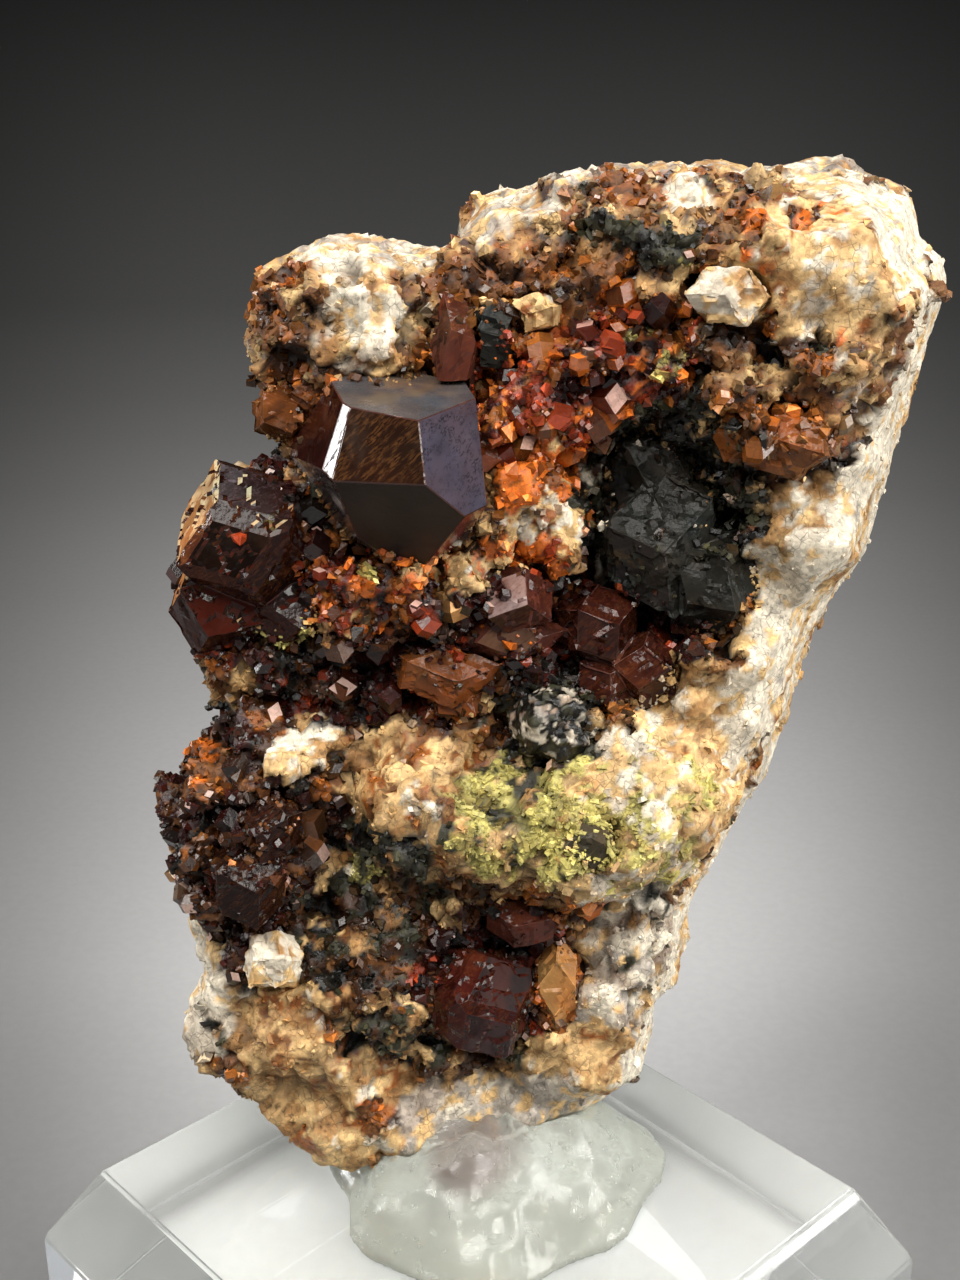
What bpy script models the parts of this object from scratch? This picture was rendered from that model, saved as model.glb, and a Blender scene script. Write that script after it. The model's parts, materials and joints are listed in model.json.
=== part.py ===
"""Garnet crystals in a slab of rock, held upright by clear putty on a bevelled acrylic block.

Lengths in this file are millimetres and become metres when an object is made. The rock is modelled in
its own frame: U runs along its face to the right, V up the face and N out of the face towards the
viewer. The frame stands on the middle of the block's top and leans back a little.
"""

import math
from collections import namedtuple

import bmesh
import bpy
from mathutils import Matrix, Vector, geometry, noise

MM = 0.001
GAP = 0.3  # clearance kept between touching solids

# Display block
BLOCK_SIDE = 50.0
BLOCK_HEIGHT = 20.0
BLOCK_TURN = 43.0  # degrees about Z, nearly corner on
BEVEL_INSET = 3.8
BEVEL_DROP = 6.8

# Rock slab
LEAN = 10.0  # degrees that the rock leans back
FACE_LEVEL = 3.2
BACK_LEVEL = -16.0
RIM_LEVEL = -5.0
RIM_SLOPE = -0.2  # the rim lies further back towards the right
FOOT_HEIGHT = 20.0
FOOT_RISE = 7.0  # how far the rim comes forward at the foot
EDGE_ROUND = 3.4
EDGE_ROUND_RIGHT = 0.09  # extra width of the edge for each millimetre to the right
FLAT_FLANK = 20.0  # U past which the edge is a flat flank instead of a round one
BACK_ROUND = 9.0
FACE_STEP = 2.0
BACK_STEP = 3.3
RIM_STEP = 2.2
RIM_ROUGHNESS = 0.5
SHEET_SPAN = (-28.0, 42.0, 90.0)  # least U, greatest U and greatest V that a sheet's points fill
HONEYCOMB = 0.866  # height of a row of points as a share of their spacing
JITTER = 0.35  # share of the spacing by which a point strays
EDGE_CLEARANCE = 0.45  # share of the spacing kept free along the outline
SHEET_TOLERANCE = 1e-6
ON_RIM = 0.05  # a point this near the outline lies on the rim

# Outline of the rock's rim, U and V, anticlockwise from the notch at the top
OUTLINE = [
    (-2.0, 72.0), (-6.0, 72.5), (-10.0, 73.0), (-15.0, 70.5), (-16.5, 65.5), (-16.0, 62.5),
    (-13.0, 61.0), (-13.5, 58.5), (-16.0, 56.0), (-19.0, 56.5), (-20.5, 53.0), (-21.0, 48.5),
    (-20.0, 44.5), (-20.5, 42.5), (-18.0, 38.5), (-18.5, 37.0), (-20.5, 36.5), (-23.5, 32.0),
    (-22.5, 25.0), (-21.0, 17.0), (-22.5, 13.5), (-21.0, 10.5), (-17.5, 9.0), (-15.5, 6.5),
    (-12.0, 3.5), (-8.5, 2.5), (-5.0, 2.8), (-1.0, 2.4), (3.0, 2.8), (6.0, 4.5), (9.5, 6.0),
    (13.0, 7.5), (14.5, 13.5), (16.0, 13.5), (16.5, 15.0), (17.5, 20.5), (20.5, 26.5),
    (23.5, 31.0), (25.5, 37.5), (27.0, 42.5), (31.0, 49.0), (32.5, 55.0), (34.5, 63.0),
    (36.5, 70.0), (36.0, 71.5), (34.0, 73.0), (33.0, 76.5), (30.0, 77.5), (27.0, 79.0),
    (20.5, 78.0), (14.0, 78.5), (10.0, 78.0), (5.5, 77.0), (0.5, 75.5), (-1.0, 73.5),
]

# Rises and hollows of the rock's face. rise is in N, and edge sets how steep its sides are.
Form = namedtuple("Form", "u v half_u half_v turn rise edge")
FACE_FORMS = [
    Form(20, 69, 14, 8, 12, 1.8, 2),  # upper right mass
    Form(21, 62, 8, 2.8, 15, 2.0, 2),  # ledge over the pocket
    Form(-9.5, 67, 6, 4.5, 0, 1.6, 2),  # upper left lobe
    Form(-2, 71, 2.2, 3.5, 0, -2.2, 1),  # notch at the top
    Form(-14, 59, 3, 2, 0, -2.2, 1),  # notch under the lobe
    Form(-17, 50, 4.5, 6, 0, -3.0, 2),  # seat of the left garnets
    Form(-7.5, 47.5, 4.5, 3, 0, 1.0, 2),  # cluster under the large garnet
    Form(-7, 41, 5, 4, 0, -3.2, 2),  # dark hollow
    Form(-16, 39.5, 4.5, 2, 0, -2.4, 1),  # notch at the left edge
    Form(-3.5, 31.5, 4.2, 4.2, 20, 5.2, 3),  # ridge, left nose
    Form(4, 30, 6.5, 4.4, -18, 4.6, 3),  # ridge, middle
    Form(12.5, 32.5, 6.5, 6.5, 35, 3.2, 2),  # ridge, right
    Form(-2, 23.5, 8, 2.8, -28, -1.6, 1),  # hollow under the ridge
    Form(-9.5, 32, 2.4, 6, 0, -2.4, 1),  # gap beside the ridge
    Form(-16.5, 30.5, 5.5, 6.5, 0, 2.2, 2),  # lower left block
    Form(-11, 18, 8, 6.5, 0, 1.6, 2),  # lower mass
    Form(9, 14, 6, 6, 0, 0.8, 2),  # lower right lobe
]

# Roughness of the slab. Broken rock has tilted flat patches: their size, step in height and tilt
Patches = namedtuple("Patches", "size step tilt seed")
FACE_LUMPS = (7.0, 0.9)  # size and height of the soft lumps
FACE_PATCHES = Patches(4.2, 0.7, 0.5, 3.0)
BACK_LUMPS = (15.0, 1.6)
BACK_PATCHES = Patches(13.0, 1.2, 0.4, 9.0)
WALL_PATCHES = Patches(6.0, 0.8, 0.25, 6.0)
WALL_DEPTH = 5.0  # the walls are fully rough this far behind the rim

# Vug in the middle of the face, and the crust of small garnets that lines it. The open hollow lies
# towards the lower right of the vug, so the crust is thick at the upper left.
VUG_CENTRE = (8.5, 53.0, 4.0)
VUG_HALF = (11.0, 15.0, 9.5)
VUG_TURN = -12.0
VUG_LUMPS = 0.9
HOLLOW_CENTRE = (11.0, 50.5, 5.0)
HOLLOW_HALF = (8.4, 11.5, 9.0)
CRUST_TOP = 3.6
CRUST_TILT = 10.0  # degrees that the crust's upper left slopes down into the hollow
CRUST_GARNETS = 28
CRUST_GARNET_RADIUS = (1.15, 1.55)
CRUST_SPREAD = 0.92  # share of the vug's width that the garnets fill
TRIM = 0.1  # the garnets may stand this far out of the crust's back

# One crystal: centre in U, V, N; distance from it to the faces; direction of its fourfold axis; roll
# about that axis; stretch along U, V, N; and the reach of its narrow edge faces, or its own faces
Crystal = namedtuple("Crystal", "at radius axis roll stretch bevel")
BEVELLED = 1.09
PLAIN = 0.0
UNEVEN = 0.05  # share by which the faces of one crystal differ in reach

# Faces of the large garnet, which grew unevenly: direction in the crystal and distance from its centre
MAIN_FACES = {
    (1, 0, 1): 6.9,  # right of the middle
    (0, 1, 1): 6.6,  # middle, see-through brown
    (1, 1, 0): 5.9,  # top
    (1, -1, 0): 5.0,  # right side
    (-0.8, -0.09, 1): 4.82,  # large lower face
    (-0.12, -1, 0.83): 6.44,  # lower right
    (-0.41, 1, 0.04): 6.04,  # left
    (-0.29, 1, 0.38): 6.58,  # narrow bright face at the left
    (-1, 0.32, 0.28): 4.91,  # narrow face at the lower left
    (-1, -0.09, 0.42): 5.4,  # lowest narrow face
    (-1, -1, 0): 6.6,
    (1, 0, -1): 6.6,
    (0, 1, -1): 6.6,
    (-1, 0, -1): 6.6,
    (0, -1, -1): 6.6,
    (2, 1, -1): 6.9,
}

GARNETS = {
    "garnet_main": [Crystal((-5.5, 57.0, 5.0), 6.6, (0.25, -0.31, 0.92), 45, (1, 1, 1), MAIN_FACES)],
    "garnet_left_cluster": [
        Crystal((-16.0, 51.6, 2.2), 4.7, (0.55, 0.25, 0.8), 20, (1, 1, 1), BEVELLED),
        Crystal((-18.4, 47.2, 1.4), 3.3, (-0.5, 0.3, 0.8), 70, (1, 1, 1), PLAIN),
        Crystal((-13.2, 46.8, 2.4), 2.6, (0.3, -0.3, 0.9), 10, (1, 1, 1), PLAIN),
    ],
    "garnet_amber_pair": [
        Crystal((-13.6, 60.7, 1.4), 1.9, (-0.4, 0.6, 0.7), 35, (1, 1, 1), PLAIN),
        Crystal((-10.8, 61.8, 2.0), 1.8, (0.5, 0.3, 0.8), 80, (1, 1, 1), PLAIN),
    ],
    "garnet_upper_blade": [
        Crystal((-1.3, 64.9, 3.8), 2.0, (0.7, 0.2, 0.7), 25, (0.75, 1.7, 1), PLAIN),
    ],
    "garnet_lavender": [
        Crystal((2.6, 47.6, 3.4), 2.3, (0.3, 0.8, 0.5), 60, (1.1, 1, 1), PLAIN),
        Crystal((2.2, 44.9, 3.0), 1.7, (-0.1, 0.7, 0.7), 15, (2.0, 0.9, 1), PLAIN),
    ],
    "garnet_red_cluster": [
        Crystal((8.9, 45.2, 0.8), 2.7, (-0.4, 0.5, 0.8), 30, (1, 1, 1), PLAIN),
        Crystal((12.6, 42.0, 2.0), 2.3, (0.5, 0.2, 0.8), 75, (1, 1, 1), PLAIN),
        Crystal((9.8, 41.0, 1.6), 2.2, (0.0, -0.4, 0.9), 50, (1, 1, 1), PLAIN),
    ],
    "garnet_ribbed": [
        Crystal((-2.0, 42.2, 2.8), 2.1, (-0.5, 0.4, 0.7), 5, (1.7, 1, 1), PLAIN),
        Crystal((-1.2, 39.8, 2.4), 1.5, (0.4, -0.5, 0.7), 40, (1.5, 0.8, 1), PLAIN),
    ],
    "garnet_amber_right": [
        Crystal((21.8, 58.9, 4.6), 2.3, (0.5, -0.2, 0.8), 20, (1.2, 1, 1), PLAIN),
        Crystal((18.6, 59.6, 4.4), 1.8, (-0.5, 0.3, 0.8), 65, (1, 1, 1), PLAIN),
    ],
    "garnet_lower": [Crystal((0.2, 17.2, 4.2), 3.7, (-0.25, 0.35, 0.9), 30, (1, 1, 1), BEVELLED)],
    "garnet_lower_small": [
        Crystal((3.9, 23.2, 3.4), 1.8, (0.5, 0.4, 0.7), 55, (1.5, 0.9, 1), PLAIN),
    ],
    "garnet_orange_base": [
        Crystal((6.2, 18.2, 3.4), 1.9, (0.6, 0.1, 0.8), 85, (0.8, 1.6, 1), PLAIN),
    ],
    "garnet_lower_left": [
        Crystal((-16.4, 27.4, 6.0), 2.6, (-0.5, 0.4, 0.8), 15, (1, 1.1, 1), PLAIN),
        Crystal((-14.6, 31.2, 6.0), 2.1, (0.5, 0.5, 0.7), 60, (1, 1, 1), PLAIN),
    ],
}
PYROXENES = {
    "pyroxene_cluster": [
        Crystal((13.6, 51.4, -0.2), 4.0, (0.6, 0.5, 0.6), 10, (1, 1.2, 1), PLAIN),
        Crystal((17.2, 48.4, 1.4), 2.9, (0.3, -0.3, 0.9), 50, (1, 1.2, 1), PLAIN),
        Crystal((12.6, 56.4, -0.8), 2.8, (-0.5, 0.5, 0.7), 80, (1, 1, 1), PLAIN),
    ],
    "pyroxene_upper": [Crystal((1.3, 66.2, 4.0), 1.6, (-0.5, 0.1, 0.8), 30, (1, 1.4, 1), PLAIN)],
    "pyroxene_ridge": [Crystal((8.2, 30.9, 8.2), 1.6, (0.4, 0.3, 0.9), 10, (1, 1, 1), PLAIN)],
}
FELDSPARS = {
    "feldspar_upper": [Crystal((17.2, 68.8, 5.6), 2.3, (0.3, 0.7, 0.6), 20, (1.1, 0.85, 1), PLAIN)],
    "feldspar_small": [Crystal((4.2, 67.6, 4.2), 1.5, (0.5, 0.3, 0.8), 60, (1.2, 0.9, 1), PLAIN)],
    "feldspar_lower": [Crystal((-14.9, 20.8, 5.6), 2.1, (0.5, 0.4, 0.8), 40, (1, 1, 1), PLAIN)],
}

GLOBULE_CENTRE = (5.7, 38.0, 3.0)
GLOBULE_RADIUS = 3.1
GLOBULE_LUMPS = 0.35
MOUND_CENTRE = (4.8, 53.2, 1.2)
MOUND_HALF = (3.4, 4.6, 3.2)
MOUND_TURN = 20.0
MOUND_LUMPS = 0.5

# Small garnets fused to the rock: middle of the patch, its half sizes, how many and how large
Patch = namedtuple("Patch", "u v half_u half_v count radius")
SMALL_GARNETS = [
    Patch(-7.5, 47.8, 4.0, 2.6, 9, 1.25),
    Patch(-7.0, 41.5, 4.5, 3.0, 7, 1.2),
    Patch(-17.0, 31.0, 4.5, 5.5, 10, 1.3),
    Patch(15.0, 41.5, 4.5, 2.2, 5, 1.3),
    Patch(14.0, 70.5, 10.0, 5.5, 10, 1.2),
    Patch(20.0, 60.5, 5.0, 2.5, 4, 1.2),
    Patch(-9.0, 13.5, 7.0, 5.0, 5, 1.1),
    Patch(-5.0, 22.5, 5.0, 2.5, 4, 1.1),
    Patch(-8.0, 7.6, 1.2, 1.0, 1, 1.0),
]
SMALL_RANGE = (0.75, 1.15)  # a small garnet's size as a share of its patch's
SMALL_SPACING = 1.15
SMALL_RISE = 0.25  # share of its radius by which a small garnet's centre stands above the face
SMALL_TRIES = 40
SMALL_SEED = 11
CRUST_SEED = 6

# Putty
PUTTY_CENTRE = (1.2, -0.6)
PUTTY_HALF = (12.8, 11.4)
PUTTY_HEIGHT = 7.5
PUTTY_RINGS = 7
PUTTY_SECTORS = 32
PUTTY_EDGE = 0.6  # thickness of the putty where it ends
PUTTY_LOBES = (3, 0.08, 0.7)  # how many lobes the putty has, how far they reach out, and their turn
FOLD_COUNT = 7
FOLD_REACH = 0.05
FOLD_HEIGHT = 0.6
FOLD_TWIST = 5.0
FOOT_REACH = 4.0  # the foot is cut off this far above the putty before it makes room for itself
FOOT_ROOM = 1.5  # that room as a share of the gap

# Red, green, blue and roughness
COLOURS = {
    "acrylic": (0.86, 0.9, 0.89, 0.08),
    "putty": (0.82, 0.84, 0.84, 0.15),
    "rock": (0.62, 0.43, 0.24, 0.85),
    "garnet": (0.16, 0.045, 0.035, 0.12),
    "amber_garnet": (0.42, 0.14, 0.04, 0.2),
    "red_druse": (0.5, 0.08, 0.03, 0.25),
    "pyroxene": (0.035, 0.045, 0.035, 0.3),
    "feldspar": (0.85, 0.74, 0.58, 0.5),
    "calcite": (0.9, 0.66, 0.4, 0.55),
}
AMBER_NODES = ("garnet_amber_pair", "garnet_amber_right", "garnet_orange_base", "garnet_ribbed")


def rock_frame():
    """Matrix from the rock's frame in millimetres to the world in millimetres."""
    lean = math.radians(LEAN)
    along_u = Vector((1, 0, 0))
    along_v = Vector((0, math.sin(lean), math.cos(lean)))
    along_n = Vector((0, -math.cos(lean), math.sin(lean)))
    turn = Matrix((along_u, along_v, along_n)).transposed().to_4x4()
    return Matrix.Translation((0, 0, BLOCK_HEIGHT)) @ turn


def clear_scene():
    for thing in list(bpy.data.objects):
        bpy.data.objects.remove(thing, do_unlink=True)


def material(name):
    """A plain Principled material in one of the part's colours."""
    found = bpy.data.materials.get(name)
    if found:
        return found
    made = bpy.data.materials.new(name)
    made.use_nodes = True
    red, green, blue, rough = COLOURS[name]
    shader = made.node_tree.nodes["Principled BSDF"]
    shader.inputs["Base Color"].default_value = (red, green, blue, 1)
    shader.inputs["Roughness"].default_value = rough
    made.diffuse_color = (red, green, blue, 1)
    return made


def make_object(name, bm, frame=None, finish="rock"):
    """Object from a bmesh in millimetres, placed in the world in metres."""
    placed = Matrix.Scale(MM, 4) @ (frame if frame else Matrix.Identity(4))
    bmesh.ops.transform(bm, matrix=placed, verts=bm.verts)
    bmesh.ops.recalc_face_normals(bm, faces=bm.faces)
    mesh = bpy.data.meshes.new(name)
    bm.to_mesh(mesh)
    bm.free()
    mesh.materials.append(material(finish))
    made = bpy.data.objects.new(name, mesh)
    bpy.context.scene.collection.objects.link(made)
    return made


def combine(target, tool, operation):
    """Boolean between two objects, applied at once; the tool is removed."""
    cut = target.modifiers.new(operation, "BOOLEAN")
    cut.operation = operation
    cut.solver = "EXACT"
    cut.object = tool
    evaluated = target.evaluated_get(bpy.context.evaluated_depsgraph_get())
    result = bpy.data.meshes.new_from_object(evaluated)
    target.modifiers.clear()
    old = target.data
    target.data = result
    result.name = target.name
    bpy.data.meshes.remove(old)
    bpy.data.objects.remove(tool, do_unlink=True)


def keep_largest(target):
    """Keep the largest connected body and drop the crumbs that a cut leaves."""
    bm = bmesh.new()
    bm.from_mesh(target.data)
    bmesh.ops.remove_doubles(bm, verts=bm.verts, dist=MM * 0.004)
    bodies = []
    unseen = set(bm.faces)
    while unseen:
        first = unseen.pop()
        body = [first]
        for face in body:
            for edge in face.edges:
                for other in edge.link_faces:
                    if other in unseen:
                        unseen.remove(other)
                        body.append(other)
        bodies.append(body)
    bodies.sort(key=lambda body: -sum(face.calc_area() for face in body))
    crumbs = [face for body in bodies[1:] for face in body]
    bmesh.ops.delete(bm, geom=crumbs, context="FACES")
    bmesh.ops.triangulate(bm, faces=bm.faces)
    bm.to_mesh(target.data)
    bm.free()


def world_box(thing):
    points = [vertex.co for vertex in thing.data.vertices]
    low = [min(point[i] for point in points) for i in range(3)]
    high = [max(point[i] for point in points) for i in range(3)]
    return low, high


def boxes_meet(first, second):
    """Whether the world boxes of two objects come within the gap of each other."""
    low_a, high_a = world_box(first)
    low_b, high_b = world_box(second)
    room = GAP * MM
    return all(low_a[i] - room < high_b[i] and low_b[i] - room < high_a[i] for i in range(3))


# ---- crystals ----


def habit(crystal):
    """Face directions and distances: 12 broad dodecahedron faces, and 24 narrow edge faces if bevelled."""
    if isinstance(crystal.bevel, dict):
        return [(Vector(face).normalized(), distance) for face, distance in crystal.bevel.items()]
    faces = []
    for a in range(3):
        for b in range(a + 1, 3):
            for sign_a in (1, -1):
                for sign_b in (1, -1):
                    direction = Vector((0, 0, 0))
                    direction[a] = sign_a
                    direction[b] = sign_b
                    faces.append((direction.normalized(), 1.0))
    if crystal.bevel:
        for long_axis in range(3):
            for signs in range(8):
                direction = Vector([1 if signs >> i & 1 else -1 for i in range(3)])
                direction[long_axis] *= 2
                faces.append((direction.normalized(), crystal.bevel))
    grown = []
    for index, (direction, reach) in enumerate(faces):
        place = Vector((index * 3.7 + crystal.radius, crystal.at[0], crystal.at[1]))
        grown.append((direction, crystal.radius * reach * (1 + UNEVEN * noise.cell(place))))
    return grown


def aim(axis, roll):
    """Rotation that points a crystal's fourfold axis in a direction, then rolls the crystal about it."""
    towards = Vector(axis).normalized()
    right = Vector((math.cos(math.radians(roll)), math.sin(math.radians(roll)), 0))
    across = (right - towards * right.dot(towards)).normalized()
    up = towards.cross(across)
    return Matrix((across, up, towards)).transposed()


def crystal_bmesh(crystal, grow=0.0):
    """A garnet crystal cut out of a cube, one plane for each face."""
    bm = bmesh.new()
    bmesh.ops.create_cube(bm, size=crystal.radius * 4)
    for direction, distance in habit(crystal):
        bmesh.ops.bisect_plane(
            bm,
            geom=bm.verts[:] + bm.edges[:] + bm.faces[:],
            plane_co=direction * (distance + grow),
            plane_no=direction,
            clear_outer=True,
        )
        bmesh.ops.holes_fill(bm, edges=bm.edges)
    bmesh.ops.remove_doubles(bm, verts=bm.verts, dist=0.01)
    turned = aim(crystal.axis, crystal.roll).to_4x4()
    stretched = Matrix.Diagonal((*crystal.stretch, 1))
    bmesh.ops.transform(bm, matrix=Matrix.Translation(crystal.at) @ stretched @ turned, verts=bm.verts)
    return bm


def crystal_cluster(name, crystals, finish):
    """Crystals grown together, joined in one solid."""
    cluster = make_object(name, crystal_bmesh(crystals[0]), rock_frame(), finish)
    for crystal in crystals[1:]:
        tool = make_object("joined", crystal_bmesh(crystal), rock_frame(), finish)
        combine(cluster, tool, "UNION")
    return cluster


def crystal_sockets(crystals):
    """The crystals' shapes grown by the gap, used as cutters."""
    frame = rock_frame()
    return [make_object("socket", crystal_bmesh(crystal, GAP), frame) for crystal in crystals]


# ---- rock slab ----


def form_height(forms, u, v):
    """Sum of the rises at a point of the face."""
    height = 0.0
    for form in forms:
        turn = math.radians(form.turn)
        du = u - form.u
        dv = v - form.v
        along = (du * math.cos(turn) + dv * math.sin(turn)) / form.half_u
        across = (dv * math.cos(turn) - du * math.sin(turn)) / form.half_v
        spread = along * along + across * across
        height += form.rise * math.exp(-(spread**form.edge))
    return height


def patch_height(patches, place):
    """Height of broken rock's flat patches, each tilted its own way."""
    scaled = Vector((place[0], place[1], place[2] + patches.seed)) / patches.size
    nearest = noise.voronoi(scaled)[1][0]
    tilt = noise.cell_vector(nearest * 7.0) - Vector((0.5, 0.5, 0.5))
    offset = (scaled - nearest) * patches.size
    return patches.step * noise.cell(nearest * 5.0) + 2 * patches.tilt * tilt.dot(offset)


def lump_height(lumps, u, v):
    size, height = lumps
    return height * noise.noise(Vector((u / size, v / size, size)))


def rim_level(u, v):
    foot = max(0.0, 1 - v / FOOT_HEIGHT)
    return RIM_LEVEL + RIM_SLOPE * u + FOOT_RISE * foot


def face_level(u, v, inset):
    """N of the rock's face, rounded down to the rim along the outline."""
    level = FACE_LEVEL + form_height(FACE_FORMS, u, v) + lump_height(FACE_LUMPS, u, v)
    level += patch_height(FACE_PATCHES, (u, v, 0.0))
    inward = min(1.0, inset / (EDGE_ROUND + EDGE_ROUND_RIGHT * max(0.0, u)))
    flat = max(0.0, min(1.0, u / FLAT_FLANK))
    profile = (1 - flat) * math.sqrt(1 - (1 - inward) ** 2) + flat * inward**0.85
    rim = rim_level(u, v)
    return rim + (level - rim) * profile


def back_level(u, v, inset):
    """N of the rock's back."""
    level = BACK_LEVEL + lump_height(BACK_LUMPS, u, v) + patch_height(BACK_PATCHES, (u, v, 0.0))
    inward = min(1.0, inset / BACK_ROUND)
    rim = rim_level(u, v)
    return rim + (level - rim) * math.sqrt(1 - (1 - inward) ** 2)


def rim_points():
    """The outline cut into short steps with a little roughness."""
    points = []
    for start, end in zip(OUTLINE, OUTLINE[1:] + OUTLINE[:1]):
        start = Vector(start)
        end = Vector(end)
        along = end - start
        pieces = max(1, round(along.length / RIM_STEP))
        outward = Vector((along.y, -along.x)).normalized()
        for piece in range(pieces):
            point = start + along * piece / pieces
            rough = noise.noise(Vector((point.x, point.y, 0.5))) if piece else 0.0
            points.append(point + outward * RIM_ROUGHNESS * rough)
    return points


def outline_inset(u, v, points):
    """Distance from a point to the outline, negative outside."""
    here = Vector((u, v))
    nearest = 1e9
    inside = False
    for start, end in zip(points, points[1:] + points[:1]):
        along = end - start
        part = max(0.0, min(1.0, (here - start).dot(along) / along.length_squared))
        nearest = min(nearest, (here - start - along * part).length)
        if (start.y > v) != (end.y > v):
            if u < start.x + (v - start.y) * along.x / along.y:
                inside = not inside
    return nearest if inside else -nearest


def sheet_triangles(points, step, seed):
    """Triangles inside the outline, over a jittered honeycomb of points."""
    flat = list(points)
    left, right, top = SHEET_SPAN
    for row in range(int(top / (step * HONEYCOMB))):
        for column in range(int((right - left) / step)):
            shift = 0.5 * (row % 2)
            stray = noise.cell_vector(Vector((row + 0.5, column + 0.5, seed))) - Vector((0.5, 0.5, 0.5))
            u = left + (column + shift + JITTER * stray.x) * step
            v = (row + JITTER * stray.y) * step * HONEYCOMB
            if outline_inset(u, v, points) > EDGE_CLEARANCE * step:
                flat.append(Vector((u, v)))
    count = len(points)
    edges = [(i, (i + 1) % count) for i in range(count)]
    result = geometry.delaunay_2d_cdt(flat, edges, [], 1, SHEET_TOLERANCE)
    return result[0], result[2]


def rock_bmesh():
    """Face and back sheets that meet along the rim."""
    bm = bmesh.new()
    points = rim_points()
    sheets = [(FACE_STEP, 1.5, face_level, True), (BACK_STEP, 2.5, back_level, False)]
    for step, seed, level, front in sheets:
        places, triangles = sheet_triangles(points, step, seed)
        made = []
        for place in places:
            inset = max(0.0, outline_inset(place.x, place.y, points))
            if inset < ON_RIM:
                inset = 0.0
            made.append(bm.verts.new((place.x, place.y, level(place.x, place.y, inset))))
        for triangle in triangles:
            corners = [made[i] for i in triangle]
            bm.faces.new(corners if front else reversed(corners))
    bmesh.ops.remove_doubles(bm, verts=bm.verts, dist=0.001)
    roughen_walls(bm)
    return bm


def roughen_walls(bm):
    """Move the vertices behind the rim in or out, so that the walls break up as the back does."""
    bm.normal_update()
    moves = []
    for vertex in bm.verts:
        u, v, n = vertex.co
        behind = max(0.0, min(1.0, (rim_level(u, v) - n) / WALL_DEPTH))
        moves.append(vertex.normal * behind * patch_height(WALL_PATCHES, vertex.co))
    for vertex, move in zip(bm.verts, moves):
        vertex.co += move


def between(ends, share):
    return ends[0] + (ends[1] - ends[0]) * share


def apart(u, v, radius, crystal):
    """Whether a new small garnet at U, V would keep clear of one already placed."""
    distance = math.hypot(u - crystal.at[0], v - crystal.at[1])
    return distance > SMALL_SPACING * (radius + crystal.radius)


def small_garnets():
    """Small crystals that stand on the rock's face, spread over patches."""
    points = rim_points()
    noise.seed_set(SMALL_SEED)
    placed = []
    for patch in SMALL_GARNETS:
        for _ in range(patch.count):
            for _ in range(SMALL_TRIES):
                u = patch.u + patch.half_u * (2 * noise.random() - 1)
                v = patch.v + patch.half_v * (2 * noise.random() - 1)
                radius = patch.radius * between(SMALL_RANGE, noise.random())
                clear = [apart(u, v, radius, crystal) for crystal in placed]
                if all(clear) and outline_inset(u, v, points) > radius:
                    break
            else:
                continue
            level = face_level(u, v, outline_inset(u, v, points)) + SMALL_RISE * radius
            face = noise.random_unit_vector() + Vector((0, 0.2, 1.6))
            placed.append(Crystal((u, v, level), radius, face, 90 * noise.random(), (1, 1, 1), PLAIN))
    return placed


# ---- vug ----


def ellipsoid_bmesh(centre, half, turn, shrink, detail, lumps=0.0):
    bm = bmesh.new()
    bmesh.ops.create_icosphere(bm, subdivisions=detail, radius=1.0)
    turned = Matrix.Rotation(math.radians(turn), 3, "Z")
    for vertex in bm.verts:
        unit = vertex.co.copy()
        size = Vector([unit[i] * half[i] for i in range(3)])
        size += unit * (lumps * noise.noise(unit * 2.2) - shrink)
        vertex.co = Vector(centre) + turned @ size
    return bm


def vug_bmesh(shrink):
    return ellipsoid_bmesh(VUG_CENTRE, VUG_HALF, VUG_TURN, shrink, 2, VUG_LUMPS)


def hollow_bmesh():
    return ellipsoid_bmesh(HOLLOW_CENTRE, HOLLOW_HALF, VUG_TURN, 0.0, 3, VUG_LUMPS)


def crust_lid_bmesh():
    """The space over the crust: everything above a plane that dips to the lower right."""
    lid = bmesh.new()
    bmesh.ops.create_cube(lid, size=60)
    dip = Matrix.Rotation(math.radians(CRUST_TILT), 4, Vector((1, 1, 0)))
    level = Matrix.Translation((VUG_CENTRE[0], VUG_CENTRE[1], CRUST_TOP))
    bmesh.ops.transform(lid, matrix=level @ dip @ Matrix.Translation((0, 0, 30)), verts=lid.verts)
    return lid


def crust_garnets(lining):
    """Small garnets spread evenly over the part of the crust that faces the viewer."""
    noise.seed_set(CRUST_SEED)
    to_world = Matrix.Scale(MM, 4) @ rock_frame()
    to_rock = to_world.inverted()
    down = (to_world.to_3x3() @ Vector((0, 0, -1))).normalized()
    golden = math.pi * (3 - math.sqrt(5))
    placed = []
    for index in range(CRUST_GARNETS):
        out = CRUST_SPREAD * math.sqrt((index + 0.5) / CRUST_GARNETS)
        u = VUG_CENTRE[0] + VUG_HALF[0] * out * math.cos(golden * index)
        v = VUG_CENTRE[1] + VUG_HALF[1] * out * math.sin(golden * index)
        start = to_world @ Vector((u, v, VUG_CENTRE[2] + VUG_HALF[2]))
        hit, spot, normal, _ = lining.ray_cast(start, down)
        if not hit:
            continue
        axis = noise.random_unit_vector() + (to_rock.to_3x3() @ normal).normalized()
        radius = between(CRUST_GARNET_RADIUS, noise.random())
        placed.append(Crystal(tuple(to_rock @ spot), radius, axis, 90 * noise.random(), (1, 1, 1), PLAIN))
    return placed


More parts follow.
